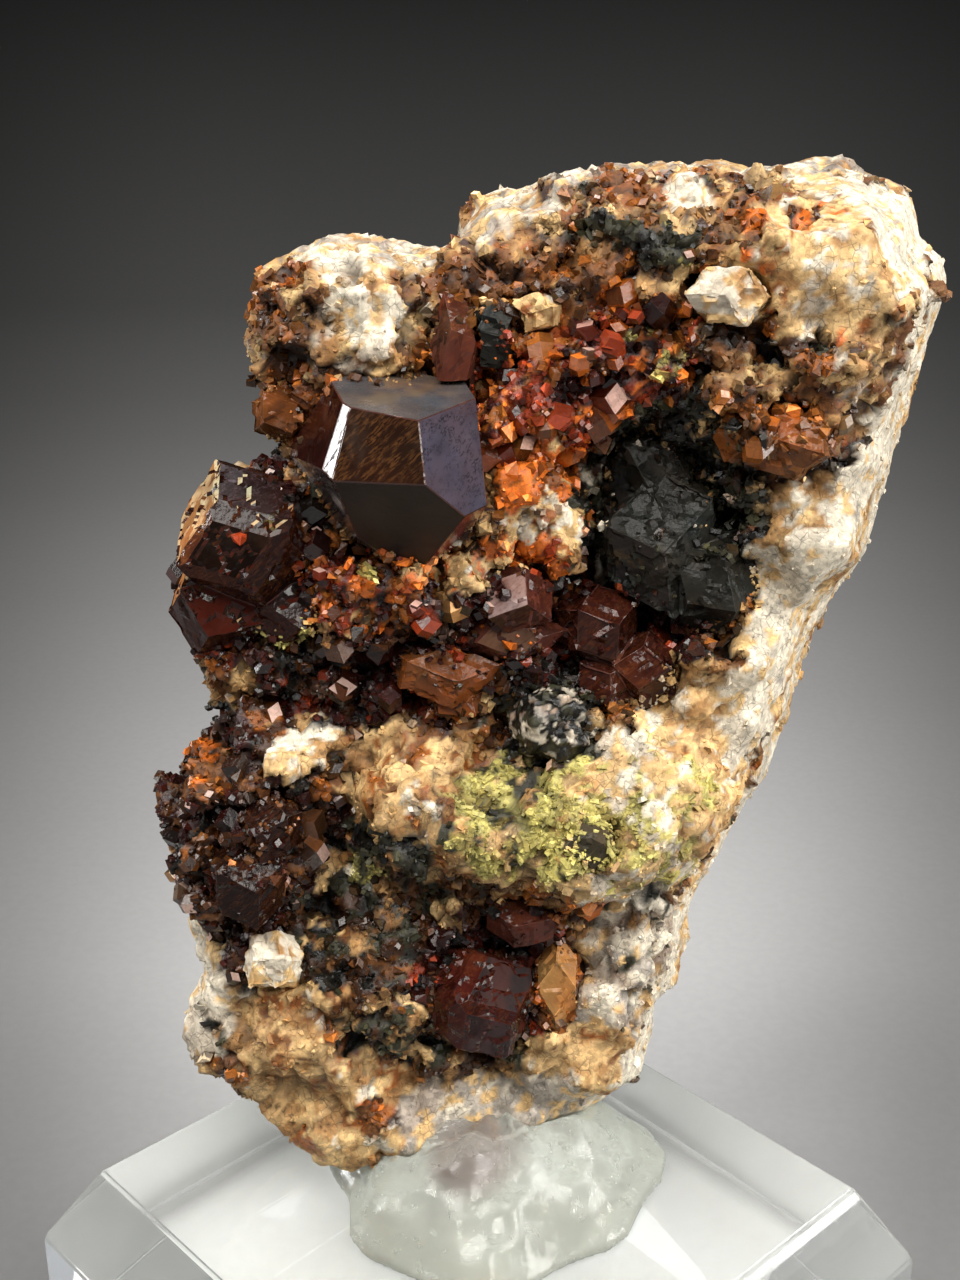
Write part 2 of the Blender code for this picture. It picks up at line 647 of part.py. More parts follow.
def crust():
    """The lining of the vug, with small garnets grown on it."""
    frame = rock_frame()
    lining = make_object("druse_crust", vug_bmesh(GAP + TRIM), frame, "red_druse")
    combine(lining, make_object("hollow", hollow_bmesh(), frame), "DIFFERENCE")
    combine(lining, make_object("lid", crust_lid_bmesh(), frame), "DIFFERENCE")
    for crystal in crust_garnets(lining):
        combine(lining, make_object("garnet", crystal_bmesh(crystal), frame, "red_druse"), "UNION")
    combine(lining, make_object("trim", vug_bmesh(GAP), frame), "INTERSECT")
    return lining


def globule_bmesh(grow):
    """A rounded cluster of stubby dark crystals."""
    bm = bmesh.new()
    bmesh.ops.create_icosphere(bm, subdivisions=2, radius=GLOBULE_RADIUS)
    for vertex in bm.verts:
        lump = noise.noise(vertex.co * 0.9) + 0.8 * noise.cell(vertex.co * 0.8)
        vertex.co += vertex.co.normalized() * (GLOBULE_LUMPS * lump + grow)
    bmesh.ops.transform(bm, matrix=Matrix.Translation(GLOBULE_CENTRE), verts=bm.verts)
    return bm


def mound_bmesh(grow):
    """A lump of pale calcite on the left wall of the vug."""
    bm = ellipsoid_bmesh((0, 0, 0), MOUND_HALF, MOUND_TURN, -grow, 2)
    for vertex in bm.verts:
        lump = noise.noise(vertex.co * 0.5) + 0.5 * noise.cell(vertex.co * 0.6)
        vertex.co += vertex.co.normalized() * MOUND_LUMPS * lump
    bmesh.ops.transform(bm, matrix=Matrix.Translation(MOUND_CENTRE), verts=bm.verts)
    return bm


# ---- base ----


def base_block():
    """Square acrylic block with a deep bevel round its top, turned nearly corner on."""
    bm = bmesh.new()
    half = BLOCK_SIDE / 2
    top = half - BEVEL_INSET
    rings = [(half, 0.0), (half, BLOCK_HEIGHT - BEVEL_DROP), (top, BLOCK_HEIGHT)]
    loops = []
    for reach, level in rings:
        corners = ((-reach, -reach), (reach, -reach), (reach, reach), (-reach, reach))
        loops.append([bm.verts.new((x, y, level)) for x, y in corners])
    for lower, upper in zip(loops, loops[1:]):
        for i in range(4):
            bm.faces.new((lower[i], lower[(i + 1) % 4], upper[(i + 1) % 4], upper[i]))
    bm.faces.new(reversed(loops[0]))
    bm.faces.new(loops[-1])
    bmesh.ops.triangulate(bm, faces=bm.faces)
    turned = Matrix.Rotation(math.radians(BLOCK_TURN), 4, "Z")
    return make_object("base_block", bm, turned, "acrylic")


def putty_point(out, angle):
    """Place on the putty's top at a share of its reach, with lobes round it and folds running down it."""
    lobe_count, lobe_reach, lobe_turn = PUTTY_LOBES
    lobes = 1 + lobe_reach * math.sin(lobe_count * angle + lobe_turn)
    lobes += FOLD_REACH * math.sin(FOLD_COUNT * angle)
    x = PUTTY_CENTRE[0] + PUTTY_HALF[0] * out * lobes * math.cos(angle)
    y = PUTTY_CENTRE[1] + PUTTY_HALF[1] * out * lobes * math.sin(angle)
    fold = FOLD_HEIGHT * math.sin(FOLD_COUNT * angle + FOLD_TWIST * out) * 4 * out * (1 - out)
    height = PUTTY_HEIGHT * (1 - out**2.2) ** 0.8 + fold
    return Vector((x, y, BLOCK_HEIGHT + GAP + max(PUTTY_EDGE, height)))


def putty_bmesh():
    """A pressed mound of putty with folds that run down from the rock's foot."""
    bm = bmesh.new()
    rings = []
    for ring in range(1, PUTTY_RINGS + 1):
        angles = [2 * math.pi * sector / PUTTY_SECTORS for sector in range(PUTTY_SECTORS)]
        rings.append([bm.verts.new(putty_point(ring / PUTTY_RINGS, angle)) for angle in angles])
    underside = BLOCK_HEIGHT + GAP
    crown = bm.verts.new((*PUTTY_CENTRE, underside + PUTTY_HEIGHT))
    base = bm.verts.new((*PUTTY_CENTRE, underside))
    edge = [bm.verts.new((point.co.x, point.co.y, underside)) for point in rings[-1]]
    for i in range(PUTTY_SECTORS):
        j = (i + 1) % PUTTY_SECTORS
        bm.faces.new((crown, rings[0][i], rings[0][j]))
        for inner, outer in zip(rings, rings[1:]):
            bm.faces.new((inner[i], outer[i], outer[j], inner[j]))
        bm.faces.new((rings[-1][i], edge[i], edge[j], rings[-1][j]))
        bm.faces.new((base, edge[j], edge[i]))
    bmesh.ops.triangulate(bm, faces=bm.faces)
    return bm


def foot_cutter(rock):
    """The rock's foot grown by the gap, which makes room for it in the putty."""
    bm = bmesh.new()
    bm.from_mesh(rock.data)
    bmesh.ops.transform(bm, matrix=Matrix.Scale(1 / MM, 4), verts=bm.verts)
    bmesh.ops.bisect_plane(
        bm,
        geom=bm.verts[:] + bm.edges[:] + bm.faces[:],
        plane_co=(0, 0, BLOCK_HEIGHT + PUTTY_HEIGHT + FOOT_REACH),
        plane_no=(0, 0, 1),
        clear_outer=True,
    )
    bmesh.ops.holes_fill(bm, edges=bm.edges)
    bmesh.ops.triangulate(bm, faces=bm.faces)
    bm.normal_update()
    moves = [vertex.normal * GAP * FOOT_ROOM for vertex in bm.verts]
    for vertex, move in zip(bm.verts, moves):
        vertex.co += move
    return make_object("foot_room", bm)


def build_crystals():
    """Every named crystal node, each later one cut back from the earlier ones that it meets."""
    made = []
    groups = [(GARNETS, "garnet"), (PYROXENES, "pyroxene"), (FELDSPARS, "feldspar")]
    for group, finish in groups:
        for name, crystals in group.items():
            tint = "amber_garnet" if name in AMBER_NODES else finish
            cluster = crystal_cluster(name, crystals, tint)
            for other, other_crystals in made:
                if boxes_meet(cluster, other):
                    for socket in crystal_sockets(other_crystals):
                        combine(cluster, socket, "DIFFERENCE")
            keep_largest(cluster)
            made.append((cluster, crystals))
    return made


def cut_sockets(target, made):
    """Cut room for the crystals that reach into a solid."""
    for other, crystals in made:
        if boxes_meet(target, other):
            for socket in crystal_sockets(crystals):
                combine(target, socket, "DIFFERENCE")


def main():
    clear_scene()
    frame = rock_frame()
    base_block()
    made = build_crystals()

    globule = make_object("pyroxene_globule", globule_bmesh(0.0), frame, "pyroxene")
    cut_sockets(globule, made)
    keep_largest(globule)

    mound = make_object("calcite_mound", mound_bmesh(0.0), frame, "calcite")
    cut_sockets(mound, made)
    keep_largest(mound)

    lining = crust()
    cut_sockets(lining, made)
    combine(lining, make_object("room", globule_bmesh(GAP), frame), "DIFFERENCE")
    combine(lining, make_object("room", mound_bmesh(GAP), frame), "DIFFERENCE")
    keep_largest(lining)

    rock = make_object("matrix", rock_bmesh(), frame, "rock")
    for crystal in small_garnets():
        combine(rock, make_object("small", crystal_bmesh(crystal), frame), "UNION")
    combine(rock, make_object("vug", vug_bmesh(0.0), frame), "DIFFERENCE")
    cut_sockets(rock, made)
    combine(rock, make_object("room", globule_bmesh(GAP), frame), "DIFFERENCE")
    combine(rock, make_object("room", mound_bmesh(GAP), frame), "DIFFERENCE")
    keep_largest(rock)

    putty = make_object("mounting_putty", putty_bmesh(), None, "putty")
    combine(putty, foot_cutter(rock), "DIFFERENCE")
    keep_largest(putty)


main()
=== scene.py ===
"""Garnet crystals in a slab of rock, set in clear putty on a polished acrylic block.

Sizes are in millimetres until a mesh is made. The rock is described in its own frame: U runs along its
face to the right, V up the face and N out of the face.
"""

import json
import math
from collections import namedtuple
from itertools import product

import bmesh
import bpy
import numpy as np
from bpy.props import FloatProperty, FloatVectorProperty, IntProperty, PointerProperty
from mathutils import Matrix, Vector
from mathutils.bvhtree import BVHTree

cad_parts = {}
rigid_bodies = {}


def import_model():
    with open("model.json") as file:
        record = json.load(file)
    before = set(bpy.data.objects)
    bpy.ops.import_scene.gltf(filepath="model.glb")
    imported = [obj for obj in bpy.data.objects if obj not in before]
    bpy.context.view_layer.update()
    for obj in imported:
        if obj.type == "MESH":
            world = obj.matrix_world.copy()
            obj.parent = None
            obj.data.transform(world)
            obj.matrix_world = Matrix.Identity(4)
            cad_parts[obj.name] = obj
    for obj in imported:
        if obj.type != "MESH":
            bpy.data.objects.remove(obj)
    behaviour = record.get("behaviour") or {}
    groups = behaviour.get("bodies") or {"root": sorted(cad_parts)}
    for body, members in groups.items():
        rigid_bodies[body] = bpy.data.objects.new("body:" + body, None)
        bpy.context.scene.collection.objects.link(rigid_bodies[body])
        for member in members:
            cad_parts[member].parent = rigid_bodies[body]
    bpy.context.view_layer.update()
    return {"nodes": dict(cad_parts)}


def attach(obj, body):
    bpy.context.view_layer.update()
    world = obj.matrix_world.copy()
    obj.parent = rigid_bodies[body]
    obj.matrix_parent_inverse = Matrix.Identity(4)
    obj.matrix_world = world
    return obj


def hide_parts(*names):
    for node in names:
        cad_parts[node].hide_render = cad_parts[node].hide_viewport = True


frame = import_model()

bl_info = {
    "name": "Garnet Specimen",
    "version": (1, 0, 0),
    "blender": (4, 5, 0),
    "location": "3D View > Sidebar > Specimen",
    "description": "Builds a garnet specimen in rough rock on a clear display block",
    "category": "Add Mesh",
}

MM = 0.001
LEAN = math.radians(10.0)  # how far the rock's face leans back
BLOCK_TOP = 20.0
QUARTZ = (-0.3, -6.5, 31.0)  # middle of the quartz that the putty covers
FACET_CUTS = 4  # how often the large crystals' faces are cut finer
LONGEST_EDGE = 0.5 * MM  # longer edges than this are cut
FACET_SEED = 900
PAINTED_GLOW_COLOUR = (0.24, 0.07, 0.018)  # painted glow: light that seems to come through thin garnet
PAINTED_GLINT_COLOUR = (0.72, 0.5, 0.42)  # painted glints: the colour of small facets that seem to catch a lamp
DUST_COLOUR = (0.06, 0.045, 0.035)
ALONG_U = np.array((1.0, 0.0, 0.0))
ALONG_V = np.array((0.0, math.sin(LEAN), math.cos(LEAN)))
ALONG_N = np.array((0.0, -math.cos(LEAN), math.sin(LEAN)))

# ---- sizes and colours that a user would change ----


def colour_prop(name, text, default):
    return FloatVectorProperty(
        name=name, description=text, subtype="COLOR", size=3, min=0, max=1, default=default
    )


def length_prop(name, text, default):
    return FloatProperty(name=name, description=text, subtype="DISTANCE", unit="LENGTH", default=default * MM)


class RockSettings(bpy.types.PropertyGroup):
    """Relief and colours of the rock"""

    mesh_step: length_prop("Mesh Step", "Spacing of the rock's mesh", 0.44)
    skin: length_prop("Skin", "How far the rock grows to meet its crystals", 0.36)
    white: colour_prop("White Calcite", "Fresh calcite", (0.74, 0.66, 0.52))
    cream: colour_prop("Cream Calcite", "Stained calcite", (0.72, 0.475, 0.21))
    tan: colour_prop("Tan", "Weathered rock", (0.46, 0.255, 0.095))
    rust: colour_prop("Rust", "Iron stain", (0.17, 0.060, 0.012))
    brown: colour_prop("Brown", "Brown garnet", (0.050, 0.017, 0.005))
    amber: colour_prop("Amber", "Amber garnet", (0.30, 0.092, 0.016))
    orange: colour_prop("Orange", "Orange garnet", (0.72, 0.17, 0.02))
    red: colour_prop("Red", "Red garnet", (0.24, 0.031, 0.008))
    wine: colour_prop("Wine", "Dark red garnet", (0.030, 0.005, 0.003))
    black: colour_prop("Black", "Black pyroxene", (0.008, 0.007, 0.005))
    moss: colour_prop("Moss", "Green-black pyroxene", (0.038, 0.036, 0.018))
    epidote: colour_prop("Epidote", "Yellow-green epidote", (0.56, 0.49, 0.15))
    grey: colour_prop("Grey", "Grey quartz", (0.40, 0.35, 0.29))


class GrainSettings(bpy.types.PropertyGroup):
    """Small crystals and grains that cover the rock's face"""

    garnets: FloatProperty(name="Garnets", description="Small garnets for each square metre", default=1.4e6)
    grit: FloatProperty(name="Grit", description="Broken garnet for each square metre", default=2.7e6)
    druse: FloatProperty(name="Druse", description="Larger garnets for each square metre", default=0.6e6)
    calcite: FloatProperty(name="Calcite", description="Calcite grains for each square metre", default=2.4e6)
    pyroxene: FloatProperty(name="Pyroxene", description="Dark crystals for each square metre", default=3.6e6)
    epidote: FloatProperty(name="Epidote", description="Epidote needles for each square metre", default=1.4e7)
    smallest: length_prop("Smallest", "Radius of the smallest grains", 0.12)
    largest: length_prop("Largest", "Radius of the largest grains", 0.55)
    seed: IntProperty(name="Seed", description="Changes where the grains fall", default=4)


class CrystalSettings(bpy.types.PropertyGroup):
    """Large crystals"""

    edge: length_prop("Edge", "Width of the worn edges", 0.07)
    body: colour_prop("Garnet", "Body colour of the dark garnets", (0.014, 0.003, 0.002))
    pyroxene: colour_prop("Pyroxene", "Body colour of the dark crystals", (0.012, 0.0115, 0.009))


class MountSettings(bpy.types.PropertyGroup):
    """Putty and display block"""

    acrylic: colour_prop("Acrylic", "Tint of the block", (0.97, 0.99, 0.975))
    putty: colour_prop("Putty", "Tint of the putty", (0.73, 0.76, 0.69))
    quartz: colour_prop("Quartz", "Tint of the quartz in the putty", (0.44, 0.38, 0.35))
    edge: length_prop("Block Edge", "Width of the block's broken edges", 0.25)


class StageSettings(bpy.types.PropertyGroup):
    """Camera, lamps and backdrop"""

    pitch: FloatProperty(
        name="Pitch", description="Camera's tilt below level", subtype="ANGLE", default=math.radians(22.12)
    )
    lens: FloatProperty(name="Lens", description="Focal length in millimetres", default=46.9)
    floor: colour_prop("Floor", "Tint of the paper", (1.0, 1.0, 1.0))


# ---- random numbers and noise on arrays of points ----
# The whole numbers passed as seed or channel pick one of many patterns, the same in every run.


def stir(bits):
    """Mix the bits of whole numbers."""
    bits = bits.astype(np.uint32)
    bits ^= bits >> np.uint32(16)
    bits *= np.uint32(0x7FEB352D)
    bits ^= bits >> np.uint32(15)
    bits *= np.uint32(0x846CA68B)
    bits ^= bits >> np.uint32(16)
    return bits


def chance(cell, channel):
    """A number from 0 to 1 for each cell, the same each time."""
    mixed = cell[..., 0] * 73856093 + cell[..., 1] * 19349663 + cell[..., 2] * 83492791 + channel * 15485863
    return (stir(mixed & 0xFFFFFFFF) & np.uint32(0xFFFFFF)) / float(0x1000000)


def wander(points, size, seed, octaves=1):
    """Smooth noise from -1 to 1."""
    total = np.zeros(len(points))
    reach = 0.0
    for octave in range(octaves):
        scaled = points * (2**octave / size)
        base = np.floor(scaled).astype(np.int64)
        part = scaled - base
        part = part * part * (3 - 2 * part)
        value = np.zeros(len(points))
        for corner in range(8):
            offset = np.array((corner & 1, corner >> 1 & 1, corner >> 2 & 1))
            weight = np.prod(np.where(offset, part, 1 - part), axis=1)
            value += weight * chance(base + offset, seed + octave)
        total += (2 * value - 1) / 2**octave
        reach += 0.5**octave
    return total / reach


Cells = namedtuple("Cells", "centre name near edge offset")


def cells(points, size, seed):
    """The grain that each point lies in: its middle, its name for chance(), and distances."""
    scaled = points / size
    base = np.floor(scaled).astype(np.int64)
    near = np.full(len(points), 9.0)
    next_near = near.copy()
    centre = np.zeros_like(scaled)
    name = np.zeros_like(base)
    for step in range(27):
        cell = base + np.array((step % 3 - 1, step // 3 % 3 - 1, step // 9 - 1))
        spot = cell + np.stack([chance(cell, seed + axis) for axis in range(3)], axis=1)
        distance = np.linalg.norm(spot - scaled, axis=1)
        closer = distance < near
        next_near = np.where(closer, near, np.minimum(next_near, distance))
        near = np.where(closer, distance, near)
        centre[closer] = spot[closer]
        name[closer] = cell[closer]
    centre *= size
    return Cells(centre, name, near * size, (next_near - near) * size, points - centre)


def smooth(low, high, value):
    part = np.clip((value - low) / (high - low), 0, 1)
    return part * part * (3 - 2 * part)


# ---- what the rock is made of, place by place ----

# Each kind of ground: how craggy it is, how much painted shade darkens its hollows, gaps and seams (the same
# number sets how strongly its pale grains are stained), and how common each mineral is
Kind = namedtuple("Kind", "crag dark minerals")
KINDS = {
    "mixed": Kind(1.1, 0.85, dict(tan=3, rust=2.4, amber=1.2, brown=2.4, cream=1.4, orange=0.1, moss=0.8)),
    "sugar": Kind(0.45, 0.45, dict(white=4, cream=2.4, tan=1.2, grey=2.4)),
    "tan": Kind(0.8, 0.7, dict(tan=4, cream=2.4, white=0.8, rust=1.8, amber=0.6, brown=1)),
    "tan brown": Kind(1.3, 0.9, dict(tan=3, cream=2, rust=2.8, amber=1.4, brown=2.2, moss=0.8, orange=0.12)),
    "rusty": Kind(1.1, 0.85, dict(rust=4, amber=2.4, brown=2.5, tan=1.4, orange=0.2, cream=0.4)),
    "spotted": Kind(0.27, 0.36, dict(cream=5, white=1.6, tan=1, amber=0.8, orange=0.3)),
    "druse": Kind(0.9, 0.8, dict(red=4, orange=1.3, wine=2, amber=1.6, rust=1, cream=0.2)),
    "glow": Kind(0.7, 0.35, dict(orange=6, cream=0.15, amber=0.8, red=0.4)),
    "glow pale": Kind(0.6, 0.4, dict(cream=4, white=1.4, orange=1.3, amber=0.5)),
    "wine": Kind(1.2, 0.85, dict(wine=6, red=1, brown=2.4, black=1.5, amber=0.3, tan=0.1)),
    "black": Kind(1.2, 0.8, dict(black=5, moss=3.4, brown=1, cream=0.5, tan=0.4, white=0.24)),
    "epidote": Kind(0.7, 0.6, dict(epidote=6, cream=1.5, moss=0.8, tan=0.5)),
    "epidote pale": Kind(0.55, 0.35, dict(epidote=3.2, cream=3.6, white=2.6, tan=0.3)),
    "ridge": Kind(0.65, 0.5, dict(cream=5, tan=2.2, white=0.6, rust=0.6, amber=0.5)),
    "gold": Kind(0.9, 0.8, dict(amber=3, red=2, orange=1.6, wine=2, cream=0.7, epidote=0.2)),
    "amber": Kind(0.8, 0.7, dict(amber=4, orange=1, brown=1.6, rust=2.4, tan=0.6)),
    "dark rust": Kind(1.3, 0.95, dict(brown=5, rust=0.9, wine=4, amber=0.25, black=1.2)),
    "speckled": Kind(1.2, 0.9, dict(brown=3.2, moss=2.8, cream=0.7, tan=1.1, rust=1.8, black=1.5)),
    "moss": Kind(1.0, 0.8, dict(moss=5, black=2, tan=0.8, epidote=0.3, cream=0.3)),
    "white speck": Kind(0.7, 0.6, dict(white=5, grey=2, cream=1.2, moss=0.6, tan=0.3)),
    "quartz": Kind(0.3, 0.3, dict(grey=5, cream=1, white=1)),
    "foot": Kind(0.45, 0.5, dict(cream=4, tan=2.4, white=0.6, amber=0.25)),
    "slab": Kind(0.2, 0.08, dict(white=8, cream=1.6, grey=0.2)),
    "slab stain": Kind(0.42, 0.3, dict(cream=4, white=1.3, tan=2.4, amber=0.3, rust=0.2)),
    "crack": Kind(1.4, 0.9, dict(brown=3, black=3, rust=1)),
    "back": Kind(0.8, 0.6, dict(tan=4, cream=2.6, rust=2, grey=1.4, white=1, brown=1.2, moss=0.3)),
    "globule": Kind(0.8, 0.7, dict(black=5, moss=2.5, white=1.7, grey=0.8)),
    "wine red": Kind(0.7, 0.8, dict(wine=4, red=1.6, brown=3, rust=1)),
    "chunk": Kind(0.45, 0.3, dict(white=4.4, cream=2.4, tan=0.5)),
    "ribbed": Kind(0.8, 0.75, dict(amber=4, orange=1, brown=2, wine=1.2)),
}

# Patches of the rock's face, later ones over earlier ones: middle, half sizes, turn in degrees, kind
Patch = namedtuple("Patch", "u v half_u half_v turn kind")
PATCHES = [Patch(*row) for row in (
    (34, 58, 14, 34, 0, "slab stain"),
    (16, 69, 22, 10, 12, "tan brown"),
    (6.5, 70.0, 5, 3, 0, "rusty"),
    (25, 65, 5, 4, 10, "tan"),
    (17, 63, 9.5, 3.4, 12, "tan brown"),
    (27, 61.5, 3.2, 5, 0, "tan"),
    (12, 73.8, 10, 2.2, 4, "tan brown"),
    (2.2, 74.0, 3.6, 1.7, 20, "sugar"),
    (24.2, 71.4, 6.6, 5.2, 10, "spotted"),
    (30.5, 74.0, 3.2, 3.6, 0, "slab"),
    (27.0, 76.8, 4.6, 1.6, -20, "slab"),
    (9, 77.6, 4, 0.9, 4, "sugar"),
    (14.2, 76.0, 1.8, 1.5, 0, "chunk"),
    (8.6, 73.6, 2.3, 1.5, 0, "moss"),
    (12.2, 72.2, 3.2, 1.2, 0, "moss"),
    (11, 76.4, 2.6, 1.1, 0, "amber"),
    (20.4, 74.8, 2.8, 1.0, 0, "amber"),
    (17.2, 65.7, 4.4, 0.9, 0, "crack"),
    (21.5, 59.4, 4.6, 2.4, 0, "amber"),
    (20.5, 57.0, 8, 1.1, 8, "crack"),
    (-9.5, 67.0, 8, 6, 0, "tan"),
    (-8.5, 72.0, 7, 1.9, 0, "sugar"),
    (-13.0, 67.0, 2.6, 3.8, 0, "rusty"),
    (-6.6, 67.4, 2.4, 2.4, 0, "chunk"),
    (-10.5, 62.0, 6.5, 1.9, 0, "rusty"),
    (-13, 61.0, 3, 1.6, 0, "amber"),
    (0.6, 66.8, 4.0, 4.5, 0, "rusty"),
    (6.8, 62.4, 8, 6.4, 0, "druse"),
    (12.8, 65.6, 3.6, 2.4, 0, "gold"),
    (14.2, 54.2, 6.7, 8.0, 0, "black"),
    (4.6, 56.0, 3.2, 3.3, 0, "glow"),
    (5.8, 52.9, 2.9, 2.5, 0, "glow pale"),
    (3.4, 50.2, 3.2, 2.0, -20, "glow"),
    (-0.4, 49.4, 5.2, 1.9, -25, "glow pale"),
    (-17.2, 50.5, 6.6, 8, 0, "wine"),
    (-18.6, 56.4, 2.6, 2.0, 0, "glow pale"),
    (-13.2, 46.2, 2.6, 1.7, 0, "epidote"),
    (-8, 48.4, 4.8, 3.2, 0, "gold"),
    (-8, 41.2, 7.5, 4.4, 0, "wine"),
    (6, 44.6, 10, 5.0, 0, "wine"),
    (2.0, 44.8, 3.6, 1.0, 15, "ribbed"),
    (11.5, 39.2, 3.4, 2.2, 0, "rusty"),
    (5.6, 37.8, 4.4, 3.8, 0, "black"),
    (16.0, 38.6, 4.4, 5.0, 20, "slab stain"),
    (17.2, 34.4, 2.6, 0.7, 30, "wine red"),
    (-3.6, 32.6, 5.6, 5.6, 0, "ridge"),
    (11.5, 30.8, 7.6, 7.0, 30, "epidote pale"),
    (4.6, 31.0, 6.6, 4.8, -18, "epidote"),
    (9.6, 25.8, 4.8, 3.2, 0, "epidote pale"),
    (-16.4, 30.6, 7.4, 8.4, 0, "dark rust"),
    (-19.8, 34.6, 2.2, 2.0, 0, "amber"),
    (-12.6, 36.4, 2.4, 1.6, 0, "chunk"),
    (-10.4, 26.4, 1.9, 1.2, 30, "chunk"),
    (-6.6, 28.6, 3.0, 3.0, 0, "moss"),
    (-6.0, 21.2, 9, 5.4, 0, "speckled"),
    (-17.5, 23.0, 4, 3.4, 0, "dark rust"),
    (-13.4, 15.2, 6.0, 4.4, 0, "ridge"),
    (-5.6, 14.8, 5.2, 2.6, -20, "speckled"),
    (-4.5, 13.4, 2.6, 1.2, -20, "moss"),
    (6.4, 24.6, 3.2, 1.8, 0, "amber"),
    (1.6, 19.4, 6.2, 5.2, 0, "wine"),
    (6.4, 17.8, 2.6, 3.4, 0, "amber"),
    (12.6, 18.4, 4.8, 8.2, 0, "white speck"),
    (8.6, 11.4, 5.6, 3.8, 0, "slab stain"),
    (-21, 17.0, 2.8, 5.8, 0, "chunk"),
    (-19.2, 14.2, 1.5, 1.1, 0, "moss"),
    (-9.0, 7.6, 8.6, 5.0, 0, "foot"),
    (-7.3, 7.8, 1.5, 1.3, 0, "amber"),
    (1.8, 6.4, 8.0, 4.0, 0, "quartz"),
    # the smooth slab along the right side
    (31.6, 68.5, 1.5, 5.5, 0, "slab"),
    (30.2, 61.0, 1.7, 6.0, -14, "slab"),
    (27.4, 54.6, 2.3, 4.6, -35, "slab"),
    (23.4, 49.4, 3.0, 4.2, -35, "slab"),
    (21.4, 43.8, 2.6, 4.2, -20, "slab"),
    (20.4, 38.6, 2.2, 4.0, -10, "slab"),
    (17.8, 32.0, 1.6, 4.4, -25, "slab stain"),
)]
KIND_NAMES = list(KINDS)
# Roughness of each mineral's grains, and the family of loose grains that it feeds
MINERALS = {
    "white": (0.5, "calcite"),
    "cream": (0.5, "calcite"),
    "tan": (0.6, "calcite"),
    "rust": (0.5, "calcite"),
    "brown": (0.28, "garnet"),
    "amber": (0.25, "garnet"),
    "orange": (0.25, "garnet"),
    "red": (0.2, "garnet"),
    "wine": (0.18, "garnet"),
    "black": (0.2, "pyroxene"),
    "moss": (0.4, "pyroxene"),
    "epidote": (0.45, "epidote"),
    "grey": (0.35, "calcite"),
}
FAMILIES = ("garnet", "calcite", "pyroxene", "epidote")


def along_rock(vectors):
    """Vectors turned to the rock's own directions: across, up and out of its face."""
    return np.stack([vectors @ ALONG_U, vectors @ ALONG_V, vectors @ ALONG_N], axis=1)


def to_rock(points):
    """World metres to the rock's own frame in millimetres."""
    return along_rock(points / MM - np.array((0, 0, BLOCK_TOP)))


def among(found, names, chosen):
    """Whether each index into names is one of the chosen names."""
    listed = list(names)
    return np.isin(found, [listed.index(name) for name in chosen])


def mineral_colours():
    """The colour of each mineral, in the order of MINERALS."""
    settings = bpy.context.scene.specimen_rock
    return np.array([getattr(settings, name)[:] for name in MINERALS])


def family_shares(mineral):
    """For each family of loose grains, whether each place's mineral feeds it."""
    fed = np.array([family for _, family in MINERALS.values()])[mineral]
    return {family: fed == family for family in FAMILIES}


def rim_level(place):
    """N of the rock's rim: what lies in front of it belongs to the face."""
    return -5.0 - 0.2 * place[:, 0] + 7.0 * np.clip(1 - place[:, 1] / 20.0, 0, 1)


def kind_at(place, normal):
    """Index in KIND_NAMES for each place, with ragged borders."""
    ragged = place.copy()
    for axis in range(2):
        ragged[:, axis] += wander(place, 2.4, 31 + 7 * axis, 3)
    found = np.full(len(place), KIND_NAMES.index("mixed"))
    for patch in PATCHES:
        turn = math.radians(patch.turn)
        du = ragged[:, 0] - patch.u
        dv = ragged[:, 1] - patch.v
        along = (du * math.cos(turn) + dv * math.sin(turn)) / patch.half_u
        across = (dv * math.cos(turn) - du * math.sin(turn)) / patch.half_v
        found[along**2 + across**2 < 1] = KIND_NAMES.index(patch.kind)
    # what looks to the right is the smooth slab, what lies behind the rim is plain, and the top is sugary
    behind = rim_level(place) - place[:, 2]
    side = (normal[:, 0] > 0.45) & (place[:, 0] > 8) & (behind > -7)
    found[side] = KIND_NAMES.index("slab")
    found[side & (wander(place, 9.0, 77, 2) > 0.35)] = KIND_NAMES.index("slab stain")
    found[(behind > 1.5) & ~side] = KIND_NAMES.index("back")
    found[(normal[:, 1] > 0.7) & (place[:, 1] > 66) & (behind > -3)] = KIND_NAMES.index("sugar")
    return found


def mineral_at(kind, grains, channel):
    """Index in MINERALS for each grain, picked by how common they are; like ones gather in patches."""
    roll = chance(grains.name, channel) + 0.34 * wander(grains.centre, 5.0, 855, 3)
    roll = np.where(roll < 0, -roll, np.where(roll > 1, 2 - roll, roll))
    found = np.zeros(len(kind), np.int64)
    for index, name in enumerate(KIND_NAMES):
        weights = np.array([KINDS[name].minerals.get(mineral, 0.0) for mineral in MINERALS])
        chosen = kind == index
        found[chosen] = np.searchsorted(np.cumsum(weights) / weights.sum(), roll[chosen])
    return np.minimum(found, len(MINERALS) - 1)


# ---- meshes ----


def read_points(mesh):
    points = np.empty(len(mesh.vertices) * 3, np.float32)
    mesh.vertices.foreach_get("co", points)
    return points.reshape(-1, 3).astype(float)


def read_normals(mesh):
    normals = np.empty(len(mesh.vertices) * 3, np.float32)
    mesh.vertex_normals.foreach_get("vector", normals)
    return normals.reshape(-1, 3).astype(float)


def write_points(mesh, points):
    mesh.vertices.foreach_set("co", points.astype(np.float32).ravel())
    mesh.update()


def write_value(mesh, name, values):
    attribute = mesh.attributes.new(name, "FLOAT", "POINT")
    attribute.data.foreach_set("value", values.astype(np.float32))


def write_colour(mesh, name, colours):
    attribute = mesh.attributes.new(name, "FLOAT_COLOR", "POINT")
    rgba = np.ones((len(colours), 4), np.float32)
    rgba[:, :3] = colours
    attribute.data.foreach_set("color", rgba.ravel())


